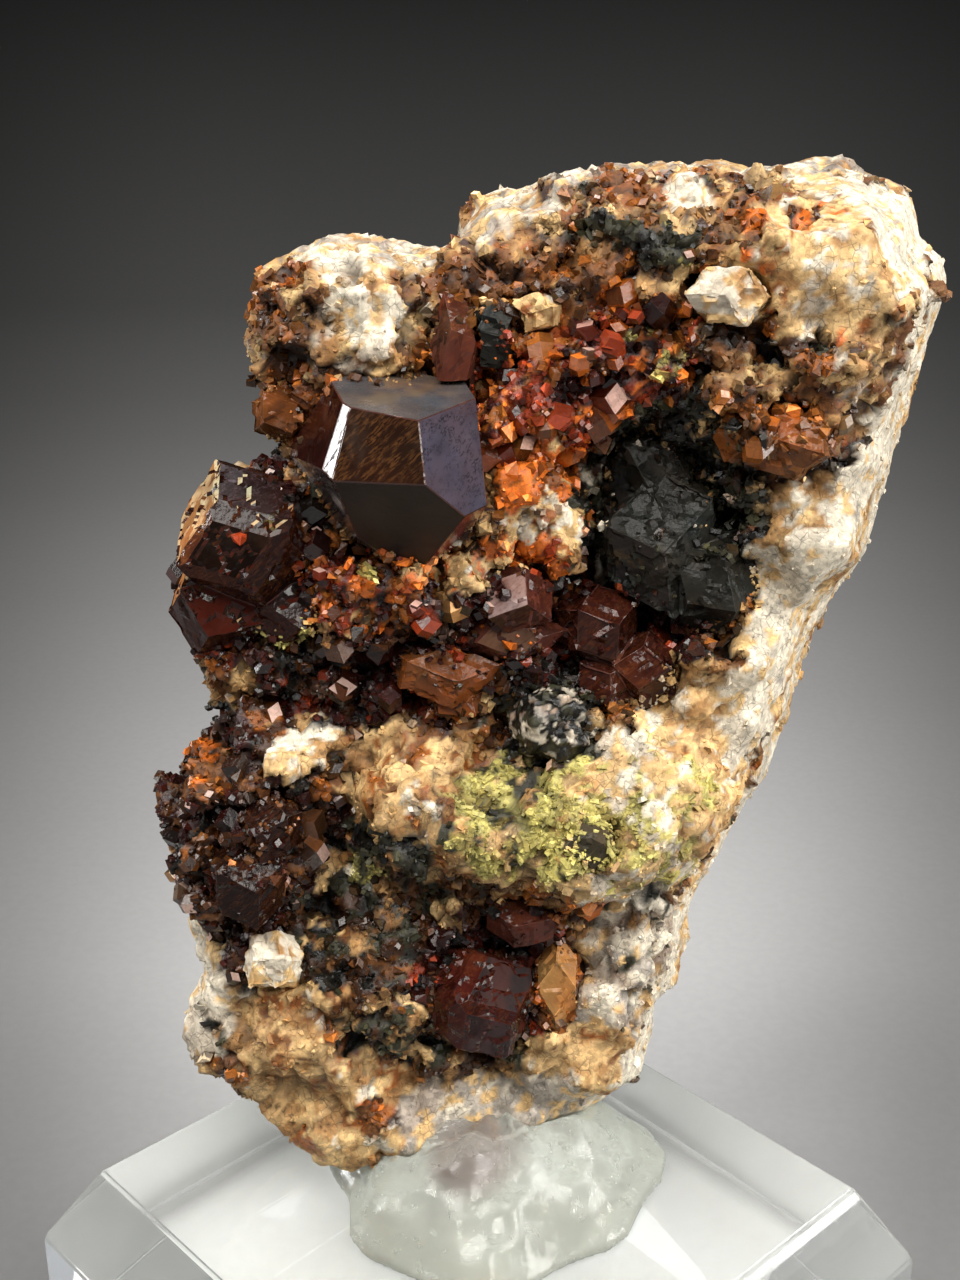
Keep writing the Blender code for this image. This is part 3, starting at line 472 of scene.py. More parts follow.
def new_piece(name, mesh):
    piece = bpy.data.objects.new(name, mesh)
    bpy.context.scene.collection.objects.link(piece)
    return piece


def merged(node, distance, flat=0.0):
    """A node's mesh with its doubled points merged, and flat faces made whole up to an angle in degrees."""
    bm = bmesh.new()
    bm.from_mesh(frame["nodes"][node].data)
    bmesh.ops.remove_doubles(bm, verts=bm.verts, dist=distance)
    if flat:
        bmesh.ops.dissolve_limit(bm, angle_limit=math.radians(flat), verts=bm.verts[:], edges=bm.edges[:])
    return bm


def finished_mesh(bm, name):
    mesh = bpy.data.meshes.new(name)
    bm.to_mesh(mesh)
    bm.free()
    return mesh


def applied(piece):
    """Turn a piece's modifiers into plain mesh."""
    evaluated = piece.evaluated_get(bpy.context.evaluated_depsgraph_get())
    mesh = bpy.data.meshes.new_from_object(evaluated)
    piece.modifiers.clear()
    old = piece.data
    piece.data = mesh
    bpy.data.meshes.remove(old)
    mesh.name = piece.name
    return piece


def remeshed(name, node, grow, step):
    """A node's shape, grown a little and rebuilt as an even mesh."""
    piece = new_piece(name, finished_mesh(merged(node, 0.002 * MM), name))
    points = read_points(piece.data)
    write_points(piece.data, points + read_normals(piece.data) * grow)
    remesh = piece.modifiers.new("even", "REMESH")
    remesh.mode = "VOXEL"
    remesh.voxel_size = step
    return applied(piece)


def settle(piece, nodes, material):
    """Give a finished piece its material and body, and hide the nodes that it stands for."""
    piece.data.materials.clear()
    piece.data.materials.append(material)
    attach(piece, "root")
    if nodes:
        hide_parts(*nodes)
    return piece


# ---- shader helpers ----


def feed(tree, sockets, inputs):
    """Fill input sockets; an input is a value or another node's socket."""
    for key, value in inputs.items():
        if isinstance(value, bpy.types.NodeSocket):
            tree.links.new(value, sockets[key])
        else:
            sockets[key].default_value = value


def add_node(tree, kind, inputs=None, **settings):
    """A node with its settings and inputs."""
    made = tree.nodes.new(kind)
    for key, value in settings.items():
        setattr(made, key, value)
    feed(tree, made.inputs, inputs or {})
    return made


def math_node(tree, operation, *values):
    return add_node(tree, "ShaderNodeMath", dict(enumerate(values)), operation=operation).outputs[0]


def mix_colours(tree, share, first, second, blend="MIX"):
    inputs = {0: share, 6: first, 7: second}
    return add_node(tree, "ShaderNodeMix", inputs, data_type="RGBA", blend_type=blend).outputs[2]


def ramp(tree, value, low, high, start=0.0, end=1.0):
    """Smoothly from start to end as value goes from low to high."""
    inputs = {"Value": value, "From Min": low, "From Max": high, "To Min": start, "To Max": end}
    return add_node(tree, "ShaderNodeMapRange", inputs, interpolation_type="SMOOTHSTEP").outputs[0]


def object_place(tree):
    return add_node(tree, "ShaderNodeTexCoord").outputs["Object"]


def noise(tree, place, scale, detail=2.0, roughness=0.5):
    """Cloudy noise from 0 to 1 at each place."""
    inputs = {"Vector": place, "Scale": scale, "Detail": detail, "Roughness": roughness}
    return add_node(tree, "ShaderNodeTexNoise", inputs).outputs["Fac"]


def vector_node(tree, operation, inputs):
    return add_node(tree, "ShaderNodeVectorMath", inputs, operation=operation).outputs[0]


def scaled_by(tree, vector, level):
    """A vector or colour times a number."""
    return vector_node(tree, "SCALE", {0: vector, "Scale": level})


def shader_group(name, inputs, outputs):
    """An empty shader node group with its sockets."""
    group = bpy.data.node_groups.new(name, "ShaderNodeTree")
    for socket_name, kind, default in inputs:
        socket = group.interface.new_socket(socket_name, in_out="INPUT", socket_type=kind)
        socket.default_value = default
    for socket_name, kind in outputs:
        group.interface.new_socket(socket_name, in_out="OUTPUT", socket_type=kind)
    return group, group.nodes.new("NodeGroupInput"), group.nodes.new("NodeGroupOutput")


def grain_mottle():
    """Shared mottling: breaks a tint up into fine grains with painted shade between them, and gives their
    height.
    """
    name = "Grain Mottle"
    if name in bpy.data.node_groups:
        return bpy.data.node_groups[name]
    inputs = [
        ("Tint", "NodeSocketColor", (0.5, 0.5, 0.5, 1)),
        ("Grain", "NodeSocketFloat", 3000.0),
        ("Contrast", "NodeSocketFloat", 0.5),
    ]
    outputs = [("Color", "NodeSocketColor"), ("Height", "NodeSocketFloat"), ("Speck", "NodeSocketFloat")]
    group, given, out = shader_group(name, inputs, outputs)
    place = object_place(group)
    contrast = given.outputs["Contrast"]
    crystals = {"Vector": place, "Scale": given.outputs["Grain"]}
    crystals = add_node(group, "ShaderNodeTexVoronoi", crystals).outputs["Color"]
    shade = add_node(group, "ShaderNodeSeparateColor", {"Color": crystals}).outputs
    fine = noise(group, place, given.outputs["Grain"], 4.0, 0.65)
    swing, drift = [
        math_node(group, "MULTIPLY", math_node(group, "SUBTRACT", value, 0.5), contrast)
        for value in (shade[0], fine)
    ]
    level = math_node(group, "ADD", math_node(group, "ADD", swing, 1.0), drift)
    broad = math_node(group, "SUBTRACT", noise(group, place, 420.0, 3.0), 0.5)
    level = math_node(group, "MULTIPLY_ADD", broad, 0.7, level)
    # painted shade in the gaps between grains, here and there, and dark specks
    painted_gap_shade = {"Vector": place, "Scale": 1300.0}
    painted_gap_shade = add_node(group, "ShaderNodeTexVoronoi", painted_gap_shade, feature="DISTANCE_TO_EDGE").outputs["Distance"]
    painted_gap_shade = ramp(group, painted_gap_shade, 0.0, 0.07, 1.0, 0.0)
    ragged = ramp(group, noise(group, place, 700.0, 4.0), 0.45, 0.6)
    painted_gap_shade = math_node(group, "MULTIPLY", painted_gap_shade, ragged)
    dim = math_node(group, "MAXIMUM", painted_gap_shade, ramp(group, fine, 0.36, 0.3))
    dim = math_node(group, "MULTIPLY", dim, contrast)
    level = math_node(group, "MULTIPLY", level, math_node(group, "SUBTRACT", 1.0, dim))
    results = {
        "Color": scaled_by(group, given.outputs["Tint"], level),
        "Height": math_node(group, "MULTIPLY_ADD", shade[1], 0.6, fine),
        "Speck": shade[2],
    }
    feed(group, out.inputs, results)
    return group


def new_material(name):
    """An empty material: its node tree and Principled shader."""
    material = bpy.data.materials.new(name)
    material.use_nodes = True
    tree = material.node_tree
    return material, tree, tree.nodes["Principled BSDF"]


def read_attribute(tree, name, output="Color"):
    return add_node(tree, "ShaderNodeAttribute", attribute_name=name).outputs[output]


def bump(tree, height, distance):
    return add_node(tree, "ShaderNodeBump", {"Height": height, "Distance": distance}).outputs[0]


def add_mottle(tree, tint, grain, contrast):
    inputs = {"Tint": tint, "Grain": grain, "Contrast": contrast}
    return add_node(tree, "ShaderNodeGroup", inputs, node_tree=grain_mottle())


def rock_material(name, grain, contrast, relief):
    """Rough grains in the colours that the mesh carries."""
    material, tree, shader = new_material(name)
    mottle = add_mottle(tree, read_attribute(tree, "tint"), grain, contrast)
    gloss = read_attribute(tree, "gloss", "Fac")
    rough = math_node(tree, "MULTIPLY_ADD", mottle.outputs["Speck"], 0.25, gloss)
    inputs = {
        "Base Color": mottle.outputs["Color"],
        "Roughness": rough,
        "Normal": bump(tree, mottle.outputs["Height"], relief * MM),
        "IOR": 1.45,
    }
    feed(tree, shader.inputs, inputs)
    return material


# How grains look: roughness, how much grains vary in tone, how much painted light and shade varies
# between facets, painted glints, contrast of the mottling, and shine
Look = namedtuple("Look", "rough spread facets glint contrast shine")


def loose_grain_material(name, look):
    """Grains of one family, each with its own shade of the ground it stands on, painted light and shade on
    their facets and painted glints.
    """
    material, tree, shader = new_material(name)
    shade = read_attribute(tree, "shade", "Fac")
    level = math_node(tree, "MULTIPLY_ADD", shade, 2 * look.spread, 1 - look.spread)
    # painted light and shade: each facet of a grain is lighter or darker by chance
    facet = read_attribute(tree, "facet", "Fac")
    squared = math_node(tree, "POWER", facet, 2.0)
    by_facet = math_node(tree, "MULTIPLY_ADD", squared, 3 * look.facets, 1 - look.facets)
    level = math_node(tree, "MULTIPLY", level, by_facet)
    # painted glints: a few facets take a pale colour as if they caught a lamp
    glint = ramp(tree, facet, 0.962, 0.975, 0.0, look.glint)
    tint = scaled_by(tree, read_attribute(tree, "tint"), level)
    tint = mix_colours(tree, glint, tint, (*PAINTED_GLINT_COLOUR, 1))
    mottle = add_mottle(tree, tint, 4200.0, look.contrast)
    inputs = {
        "Base Color": mottle.outputs["Color"],
        "Roughness": math_node(tree, "MULTIPLY_ADD", mottle.outputs["Speck"], 0.2, look.rough),
        "Normal": bump(tree, mottle.outputs["Height"], 0.03 * MM),
        "IOR": 1.6,
        "Specular IOR Level": look.shine,
    }
    feed(tree, shader.inputs, inputs)
    return material


# A crystal's slot, and its material's roughness, refraction, dust, growth steps in millimetres and shine
Finish = namedtuple("Finish", "name slot rough ior dust relief shine")
FINISHES = (
    Finish("large garnet faces", "garnet", 0.02, 1.55, 0.25, 0.012, 0.27),
    Finish("garnet faces", "garnet", 0.05, 1.55, 0.14, 0.03, 0.17),
    Finish("amber garnet faces", "amber_garnet", 0.2, 1.5, 0.5, 0.07, 0.25),
    Finish("pyroxene faces", "pyroxene", 0.3, 1.4, 0.3, 0.08, 0.25),
)


def crystal_material(finish):
    """Glassy faces in the colours that the mesh carries, with dust, growth steps and strands inside, some in
    painted glow.
    """
    material, tree, shader = new_material(finish.name)
    place = object_place(tree)
    # strands: in the marks' colour on listed faces, elsewhere in the painted glow colour
    strand = add_node(tree, "ShaderNodeAttribute", attribute_name="strand").outputs
    turned = {"Vector": place, "Angle": math.radians(42)}
    turned = add_node(tree, "ShaderNodeVectorRotate", turned, rotation_type="Y_AXIS").outputs[0]
    drawn = vector_node(tree, "MULTIPLY", {0: turned, 1: (0.22, 0.6, 1.0)})
    bundle = ramp(tree, noise(tree, drawn, 2600.0), 0.4, 0.58)
    thread = ramp(tree, noise(tree, drawn, 9000.0, 3.0, 0.65), 0.42, 0.62)
    inside = math_node(tree, "MULTIPLY", bundle, thread)
    inside = math_node(tree, "MULTIPLY", inside, strand["Alpha"])
    tint = mix_colours(tree, inside, read_attribute(tree, "tint"), strand["Color"])
    veil = ramp(tree, noise(tree, place, 330.0, 6.0, 0.7), 0.5, 0.72)
    veil = math_node(tree, "MULTIPLY", veil, finish.dust)
    paler = mix_colours(tree, 1.0, tint, (*DUST_COLOUR, 1), "ADD")
    steps = {"Vector": place, "Scale": 520.0, "Smoothness": 0.3}
    steps = add_node(tree, "ShaderNodeTexVoronoi", steps, feature="SMOOTH_F1").outputs["Distance"]
    height = math_node(tree, "MULTIPLY_ADD", steps, 2.0, noise(tree, place, 2600.0, 3.0))
    gloss = math_node(tree, "ADD", read_attribute(tree, "gloss", "Fac"), finish.rough)
    inputs = {
        "Base Color": mix_colours(tree, veil, tint, paler),
        "Roughness": math_node(tree, "MULTIPLY_ADD", veil, 0.5, gloss),
        "Normal": bump(tree, height, finish.relief * MM),
        "IOR": finish.ior,
        "Specular IOR Level": finish.shine,
    }
    feed(tree, shader.inputs, inputs)
    return material


# ---- rock, crust and calcite ----


# How common the larger druse garnets are on each kind of ground
DRUSE = {
    "druse": 1.0, "gold": 0.8, "wine": 0.7, "glow": 0.5, "amber": 0.6, "dark rust": 0.35, "tan brown": 0.05
}
PALE = ("white", "cream", "tan", "epidote", "grey")
BARE = ("slab", "slab stain", "quartz", "back", "chunk", "sugar", "foot")
COARSE_GRAIN = 3.8  # the rock's largest grains, in millimetres
FINE_SHARE = 0.45  # size of the finest grains, as a share of the middle ones
GROUND_GRAIN = 211  # seed shared by the rock's grains and the grains on its crystals


def slope(grains):
    """Height on the tilted top of each grain."""
    lean = np.stack([chance(grains.name, 60 + axis) for axis in range(3)], axis=1) - 0.5
    return np.sum(lean * grains.offset, axis=1)


def paint_ground(piece, relief, grain_size, kind=None):
    """Raise the grains of a rocky surface, colour each by its mineral, and paint shade into hollows, gaps and
    seams.
    """
    mesh = piece.data
    points = read_points(mesh)
    normals = read_normals(mesh)
    place = to_rock(points)
    facing = along_rock(normals)
    ragged = place + 0.4 * np.stack([wander(place, 1.2, 601 + 7 * axis, 2) for axis in range(3)], axis=1)

    coarse = cells(ragged, COARSE_GRAIN, 101)
    medium = cells(ragged, grain_size, GROUND_GRAIN)
    fine = cells(ragged, grain_size * FINE_SHARE, 307)
    kinds = kind_at(medium.centre, facing) if kind is None else np.full(len(place), KIND_NAMES.index(kind))
    crag = np.array([row.crag for row in KINDS.values()])[kinds]
    dark = np.array([row.dark for row in KINDS.values()])[kinds]
    height = np.zeros(len(place))
    # each grain stands higher or lower by a step, and its top is tilted
    for grains, step, tilt in ((coarse, 0.42, 0.34), (medium, 0.24, 0.4), (fine, 0.1, 0.4)):
        height += step * (chance(grains.name, 50) - 0.5) * 2 + tilt * slope(grains)
    seams = 1 - smooth(0.0, 0.45, coarse.edge)
    pits = smooth(0.1, 0.75, wander(place, 3.2, 401, 3))
    height = height - 0.7 * seams - pits
    write_points(mesh, points + normals * (height * crag * relief * MM)[:, None])

    mineral = mineral_at(kinds, medium, 70)
    small = mineral_at(kinds, fine, 71)
    mineral = np.where(chance(fine.name, 72) < 0.34, small, mineral)
    vein = smooth(0.8, 0.97, 1 - np.abs(wander(ragged, 4.2, 811, 3)))
    stain = np.maximum(0.85 * vein, smooth(0.2, 0.6, wander(place, 2.2, 841, 3)))
    stain = among(mineral, MINERALS, PALE) * dark * stain
    rust = np.array(bpy.context.scene.specimen_rock.rust)
    colours = mineral_colours()[mineral] * (1 - stain[:, None]) + rust * stain[:, None]
    # painted shade: hollows, gaps between grains and seams are darker
    shade = 0.82 + 0.36 * chance(medium.name, 73) + 0.3 * (chance(fine.name, 74) - 0.5)
    shade *= 1 + 0.3 * wander(place, 4.5, 821, 2)
    shade *= 1 - dark * (1 - smooth(-1.1, -0.25, height))
    shade *= 1 - 0.6 * dark * (1 - smooth(0.0, 0.16, medium.edge))
    shade *= 1 - 0.7 * dark**2 * seams
    shade = np.minimum(shade, 0.97)
    write_colour(mesh, "tint", colours * shade[:, None])
    write_value(mesh, "gloss", np.array([rough for rough, _ in MINERALS.values()])[mineral])

    # how many loose grains stand on each place
    cover = np.where(among(kinds, KINDS, BARE), 0.08, np.minimum(crag, 1.0) ** 2)
    cover *= np.where(facing[:, 2] < -0.3, 0.4, 1.0)
    cover *= smooth(-1.2, -0.5, height)
    shares = family_shares(mineral)
    for family, fed in shares.items():
        write_value(mesh, family, fed * cover)
    druse = np.array([DRUSE.get(name, 0.0) for name in KINDS])[kinds]
    write_value(mesh, "druse", shares["garnet"] * cover * druse)
    mesh.shade_smooth()


def jitter(bm, swing, *key):
    """Push each corner of a shape to and fro."""
    for index, vertex in enumerate(bm.verts):
        name = np.array((index, *key))
        vertex.co += Vector([2 * swing * float(chance(name, axis)) - swing for axis in range(3)])


def loose_grain_shape(shape):
    """The shape of one small crystal, a unit across its radius."""
    bm = bmesh.new()
    if shape == "garnet":
        # a cube cut down to the twelve faces of a garnet
        bmesh.ops.create_cube(bm, size=4)
        signs = ((1, 1), (1, -1), (-1, 1), (-1, -1))
        for (a, b), (sign_a, sign_b) in product(((0, 1), (1, 2), (0, 2)), signs):
            plane = Vector((0, 0, 0))
            plane[a] = sign_a
            plane[b] = sign_b
            plane.normalize()
            cut = bm.verts[:] + bm.edges[:] + bm.faces[:]
            bmesh.ops.bisect_plane(bm, geom=cut, plane_co=plane, plane_no=plane, clear_outer=True)
            bmesh.ops.holes_fill(bm, edges=bm.edges)
        bmesh.ops.remove_doubles(bm, verts=bm.verts, dist=0.01)
    elif shape == "chip":
        bmesh.ops.create_cube(bm, size=1.5)
        jitter(bm, 0.45, 3, 5)
        bmesh.ops.triangulate(bm, faces=bm.faces[:])
    elif shape == "flake":
        bmesh.ops.create_cone(bm, cap_ends=True, segments=5, radius1=1.0, radius2=0.5, depth=0.9)
        jitter(bm, 0.25, 4, 9)
    else:
        sides, length = (5, 0.9) if shape == "prism" else (4, 1.4)
        bmesh.ops.create_cone(
            bm, cap_ends=True, segments=sides, radius1=0.7, radius2=0.7, depth=2 * length
        )
        for vertex in bm.verts:
            if vertex.co.z > 0:
                vertex.co.z += 0.5 * vertex.co.x
    return new_piece("shape_of_" + shape, finished_mesh(bm, "shape of " + shape))


def random_number(tree, seed):
    made = add_node(tree, "FunctionNodeRandomValue", {2: 0.0, 3: 1.0, "Seed": seed}, data_type="FLOAT")
    return made.outputs[1]


def random_vector(tree, low, high, seed):
    inputs = {0: (low,) * 3, 1: (high,) * 3, "Seed": seed}
    return add_node(tree, "FunctionNodeRandomValue", inputs, data_type="FLOAT_VECTOR").outputs[0]


def stored(tree, domain, geometry, name, value):
    """Geometry that carries a number under a name."""
    inputs = {"Geometry": geometry, "Name": name, "Value": value}
    made = add_node(tree, "GeometryNodeStoreNamedAttribute", inputs, data_type="FLOAT", domain=domain)
    return made.outputs[0]


def grain_tree():
    """Geometry nodes: small crystals spread over a surface, each with a shade of its own."""
    name = "Grains On Rock"
    if name in bpy.data.node_groups:
        return bpy.data.node_groups[name]
    tree = bpy.data.node_groups.new(name, "GeometryNodeTree")
    sockets = [
        ("Geometry", "NodeSocketGeometry"),
        ("Crystal", "NodeSocketObject"),
        ("Density", "NodeSocketFloat"),
        ("Share", "NodeSocketString"),
        ("Smallest", "NodeSocketFloat"),
        ("Largest", "NodeSocketFloat"),
        ("Uneven", "NodeSocketFloat"),
        ("Seed", "NodeSocketInt"),
        ("Material", "NodeSocketMaterial"),
    ]
    for socket_name, kind in sockets:
        tree.interface.new_socket(socket_name, in_out="INPUT", socket_type=kind)
    tree.interface.new_socket("Geometry", in_out="OUTPUT", socket_type="NodeSocketGeometry")
    given = tree.nodes.new("NodeGroupInput").outputs
    out = tree.nodes.new("NodeGroupOutput")
    seed = given["Seed"]
    share = add_node(tree, "GeometryNodeInputNamedAttribute", {"Name": given["Share"]}, data_type="FLOAT")
    density = math_node(tree, "MULTIPLY", share.outputs[0], given["Density"])
    ground = {"Mesh": given["Geometry"], "Density": density, "Seed": seed}
    spread = add_node(tree, "GeometryNodeDistributePointsOnFaces", ground, distribute_method="RANDOM")
    # most grains are near the smallest size
    rare = math_node(tree, "POWER", random_number(tree, seed), 3.0)
    span = math_node(tree, "SUBTRACT", given["Largest"], given["Smallest"])
    scale = math_node(tree, "MULTIPLY_ADD", rare, span, given["Smallest"])
    drawn = random_vector(tree, -1, 1, math_node(tree, "ADD", seed, 5.0))
    build = vector_node(tree, "MULTIPLY_ADD", {0: drawn, 1: given["Uneven"], 2: (1, 1, 1)})
    crystal = add_node(tree, "GeometryNodeObjectInfo", {"Object": given["Crystal"]})
    grains = {
        "Points": spread.outputs["Points"],
        "Instance": crystal.outputs["Geometry"],
        "Rotation": random_vector(tree, 0, 2 * math.pi, seed),
        "Scale": scaled_by(tree, build, scale),
    }
    placed = add_node(tree, "GeometryNodeInstanceOnPoints", grains).outputs[0]
    shade_seed = math_node(tree, "ADD", seed, 17.0)
    shaded = stored(tree, "INSTANCE", placed, "shade", random_number(tree, shade_seed))
    real = add_node(tree, "GeometryNodeRealizeInstances", {"Geometry": shaded}).outputs[0]
    # a number for each facet, which sets the painted light and shade and the painted glints
    faceted = stored(tree, "FACE", real, "facet", random_number(tree, shade_seed))
    finish = add_node(tree, "GeometryNodeSetMaterial", {"Geometry": faceted, "Material": given["Material"]})
    tree.links.new(finish.outputs[0], out.inputs[0])
    return tree


def contact_surface(piece, grounds, dusting):
    """A copy of a crystal that carries grains where it comes close to the ground."""
    mesh = piece.data.copy()
    for name in ("tint", "strand", "gloss"):
        mesh.attributes.remove(mesh.attributes[name])
    points = read_points(mesh)
    place = to_rock(points)
    gap = np.array([min(ground.find_nearest(Vector(point))[3] for ground in grounds) for point in points])
    near = 1 - smooth(0.2, 1.5, gap / MM + 0.8 * wander(place, 1.6, 951, 2))
    dusting = dusting * smooth(-0.1, 0.5, wander(place, 2.5, 961, 2))
    grains = cells(place, 0.8, GROUND_GRAIN)
    mineral = mineral_at(kind_at(grains.centre, along_rock(read_normals(mesh))), grains, 70)
    write_colour(mesh, "tint", mineral_colours()[mineral] * (0.6 + 0.5 * chance(grains.name, 73))[:, None])
    write_value(mesh, "gloss", np.full(len(points), 0.3))
    write_value(mesh, "druse", np.zeros(len(points)))
    for family, fed in family_shares(mineral).items():
        write_value(mesh, family, fed * (1.6 * near + dusting))
    return new_piece("contact of " + piece.name, mesh)


def joined_surface(rocky, contacts):
    """One mesh to spread grains on: copies of the rocky pieces, and the contact surfaces."""
    parts = [new_piece("ground", piece.data.copy()) for piece in rocky] + contacts
    with bpy.context.temp_override(
        active_object=parts[0], selected_objects=parts, selected_editable_objects=parts
    ):
        bpy.ops.object.join()
    return parts[0]


def discard(piece):
    mesh = piece.data
    bpy.data.objects.remove(piece)
    bpy.data.meshes.remove(mesh)


def scatter(name, surface, shape, seed, material, values):
    """Spread one family of small crystals over a surface as a joined mesh."""
    shape = loose_grain_shape(shape)
    piece = new_piece(name, surface.data.copy())
    modifier = piece.modifiers.new("grains", "NODES")
    modifier.node_group = grain_tree()
    values = {**values, "Crystal": shape, "Seed": seed, "Material": material}
    for item in modifier.node_group.interface.items_tree:
        if item.in_out == "INPUT" and item.name in values:
            modifier[item.identifier] = values[item.name]
    applied(piece)
    discard(shape)
    return piece


# ---- large crystals ----


def ordered_mesh(bm, name, worn):
    """A mesh of triangles in an order that is the same in every run, so that grains fall alike on it."""
    bm.verts.index_update()
    spots = np.array([vertex.co[:] for vertex in bm.verts])
    order = np.lexsort(spots.T)
    corners = np.argsort(order)[[[vertex.index for vertex in face.verts] for face in bm.faces]]
    turn = (corners.argmin(axis=1)[:, None] + np.arange(3)) % 3
    corners = np.take_along_axis(corners, turn, axis=1)
    listed = np.lexsort(corners.T)
    mesh = bpy.data.meshes.new(name)
    mesh.from_pydata(spots[order].tolist(), [], corners[listed].tolist())
    wear = np.array([face[worn] for face in bm.faces], np.float32)
    mesh.attributes.new("worn", "FLOAT", "FACE").data.foreach_set("value", wear[listed])
    bm.free()
    return mesh


def faceted_copy(node, name, edge, chips):
    """A crystal with whole flat faces and narrow worn edges, cut finely enough to carry tints."""
    bm = merged(node, 0.004 * MM, 2.0)
    worn = bm.faces.layers.float.new("worn")
    cut = bmesh.ops.bevel(
        bm, geom=bm.edges[:], offset=edge, segments=1, affect="EDGES", clamp_overlap=True, profile=0.6
    )
    for face in cut["faces"]:
        face[worn] = 1.0
    bmesh.ops.triangulate(bm, faces=bm.faces[:])
    for _ in range(FACET_CUTS):
        long_edges = [line for line in bm.edges if line.calc_length() > LONGEST_EDGE]
        bmesh.ops.subdivide_edges(bm, edges=long_edges, cuts=1)
        bmesh.ops.triangulate(bm, faces=bm.faces[:])
    mesh = ordered_mesh(bm, name, worn)
    points = read_points(mesh)
    place = points / MM
    broken = cells(place + 0.3 * wander(place, 1.0, 91, 2)[:, None], 1.5, 95)
    step = 0.5 * chance(broken.name, 50) + 0.5 * slope(broken)
    write_points(mesh, points - read_normals(mesh) * (chips * np.maximum(step, 0) * MM)[:, None])
    return new_piece(name, mesh)


def corner_values(mesh):
    """Points, flat normals and wear at each corner of a mesh of triangles."""
    count = len(mesh.polygons)
    normals = np.empty(count * 3, np.float32)
    mesh.polygons.foreach_get("normal", normals)
    worn = np.empty(count, np.float32)
    mesh.attributes["worn"].data.foreach_get("value", worn)
    index = np.empty(count * 3, np.int32)
    mesh.loops.foreach_get("vertex_index", index)
    normals = np.repeat(normals.reshape(-1, 3), 3, axis=0).astype(float)
    return read_points(mesh)[index], normals, np.repeat(worn, 3)


def write_corners(mesh, name, values):
    """Colours with their alpha, or plain numbers, at each corner."""
    kind = "FLOAT" if values.ndim == 1 else "FLOAT_COLOR"
    attribute = mesh.attributes.new(name, kind, "CORNER")
    attribute.data.foreach_set("value" if values.ndim == 1 else "color", values.astype(np.float32).ravel())


def paint_facets(piece, body, spread, seed, warmth, faces):
    """Give each flat face of a crystal a painted shade of the body colour, or its listed colour, and a
    painted glow.
    """
    mesh = piece.data
    points, normals, worn = corner_values(mesh)
    place = points / MM
    # painted shade: faces that look different ways get different shades of the body colour
    key = np.round(normals * 3).astype(np.int64)
    shade = 1 + spread * (chance(key, seed) * 2 - 1)
    colours = np.array(body)[None, :] * shade[:, None]
    gloss = 0.1 * chance(key, seed + 1)
    # painted glow: patches where light seems to come through the crystal, mixed into the colour and the
    # strands
    glow = warmth * smooth(0.0, 0.6, wander(place, 3.0, seed + 5, 3))
    warm = np.array(PAINTED_GLOW_COLOUR)
    strand = np.ones((len(points), 4))
    strand[:, :3] = warm
    strand[:, 3] = 0.6 * glow + 0.15 * min(1.0, 10 * warmth)
    for face in faces:
        chosen = normals @ np.array(face.normal) > 0.97
        colours[chosen] = face.colour
        gloss[chosen] = face.gloss
        mark = smooth(*face.marks, wander(place, 2.0, seed + 9, 3)) * chosen
        colours = colours * (1 - mark[:, None]) + np.array(face.mark_colour) * mark[:, None]
        strand[chosen, :3] = face.mark_colour
        thick = 0.4 + 0.6 * smooth(-0.4, 0.3, wander(place, 3.4, seed + 13, 2))
        strand[chosen, 3] = face.strands * thick[chosen]
        glow[chosen] *= 0.1
    colours = colours * (1 - glow[:, None]) + warm * glow[:, None]
    colours *= (1 + 0.35 * wander(place, 1.1, seed + 11, 3))[:, None]
    colours *= 1 + 0.35 * wander(place, 2.6, seed + 15, 2)[:, None] * (1.0, 0.0, -0.6)
    colours = colours * (1 + 0.8 * worn[:, None]) + 0.012 * worn[:, None]
    write_corners(mesh, "tint", np.column_stack((colours, np.ones(len(colours)))))
    write_corners(mesh, "strand", strand)
    write_corners(mesh, "gloss", gloss)


# ---- operators ----


class SPECIMEN_OT_rock(bpy.types.Operator):
    """Build the rough rock, the crust in its hollow and the lump of calcite"""

    bl_idname = "specimen.rock"
    bl_label = "Rock And Crust"

    def execute(self, context):
        settings = context.scene.specimen_rock
        # name, node, slot, growth, mesh step, relief, grain size, and material
        rows = [
            ("rock", "matrix", "rock", settings.skin, settings.mesh_step, 1.0, 1.5,
                ("grainy rock", 3000.0, 0.55, 0.085)),
            ("hollow_crust", "druse_crust", "red_druse", 0.3 * MM, 0.3 * MM, 0.7, 1.1,
                ("garnet crust", 3600.0, 0.5, 0.08)),
            ("calcite_lump", "calcite_mound", "calcite", 0.3 * MM, 0.25 * MM, 0.8, 1.2,
                ("stained calcite", 3200.0, 0.4, 0.1)),
        ]
        for name, node, slot, grow, step, relief, grain_size, look in rows:
            piece = remeshed(name, node, grow, step)
            paint_ground(piece, relief, grain_size)
            settle(piece, [node], rock_material(*look))
        return {"FINISHED"}


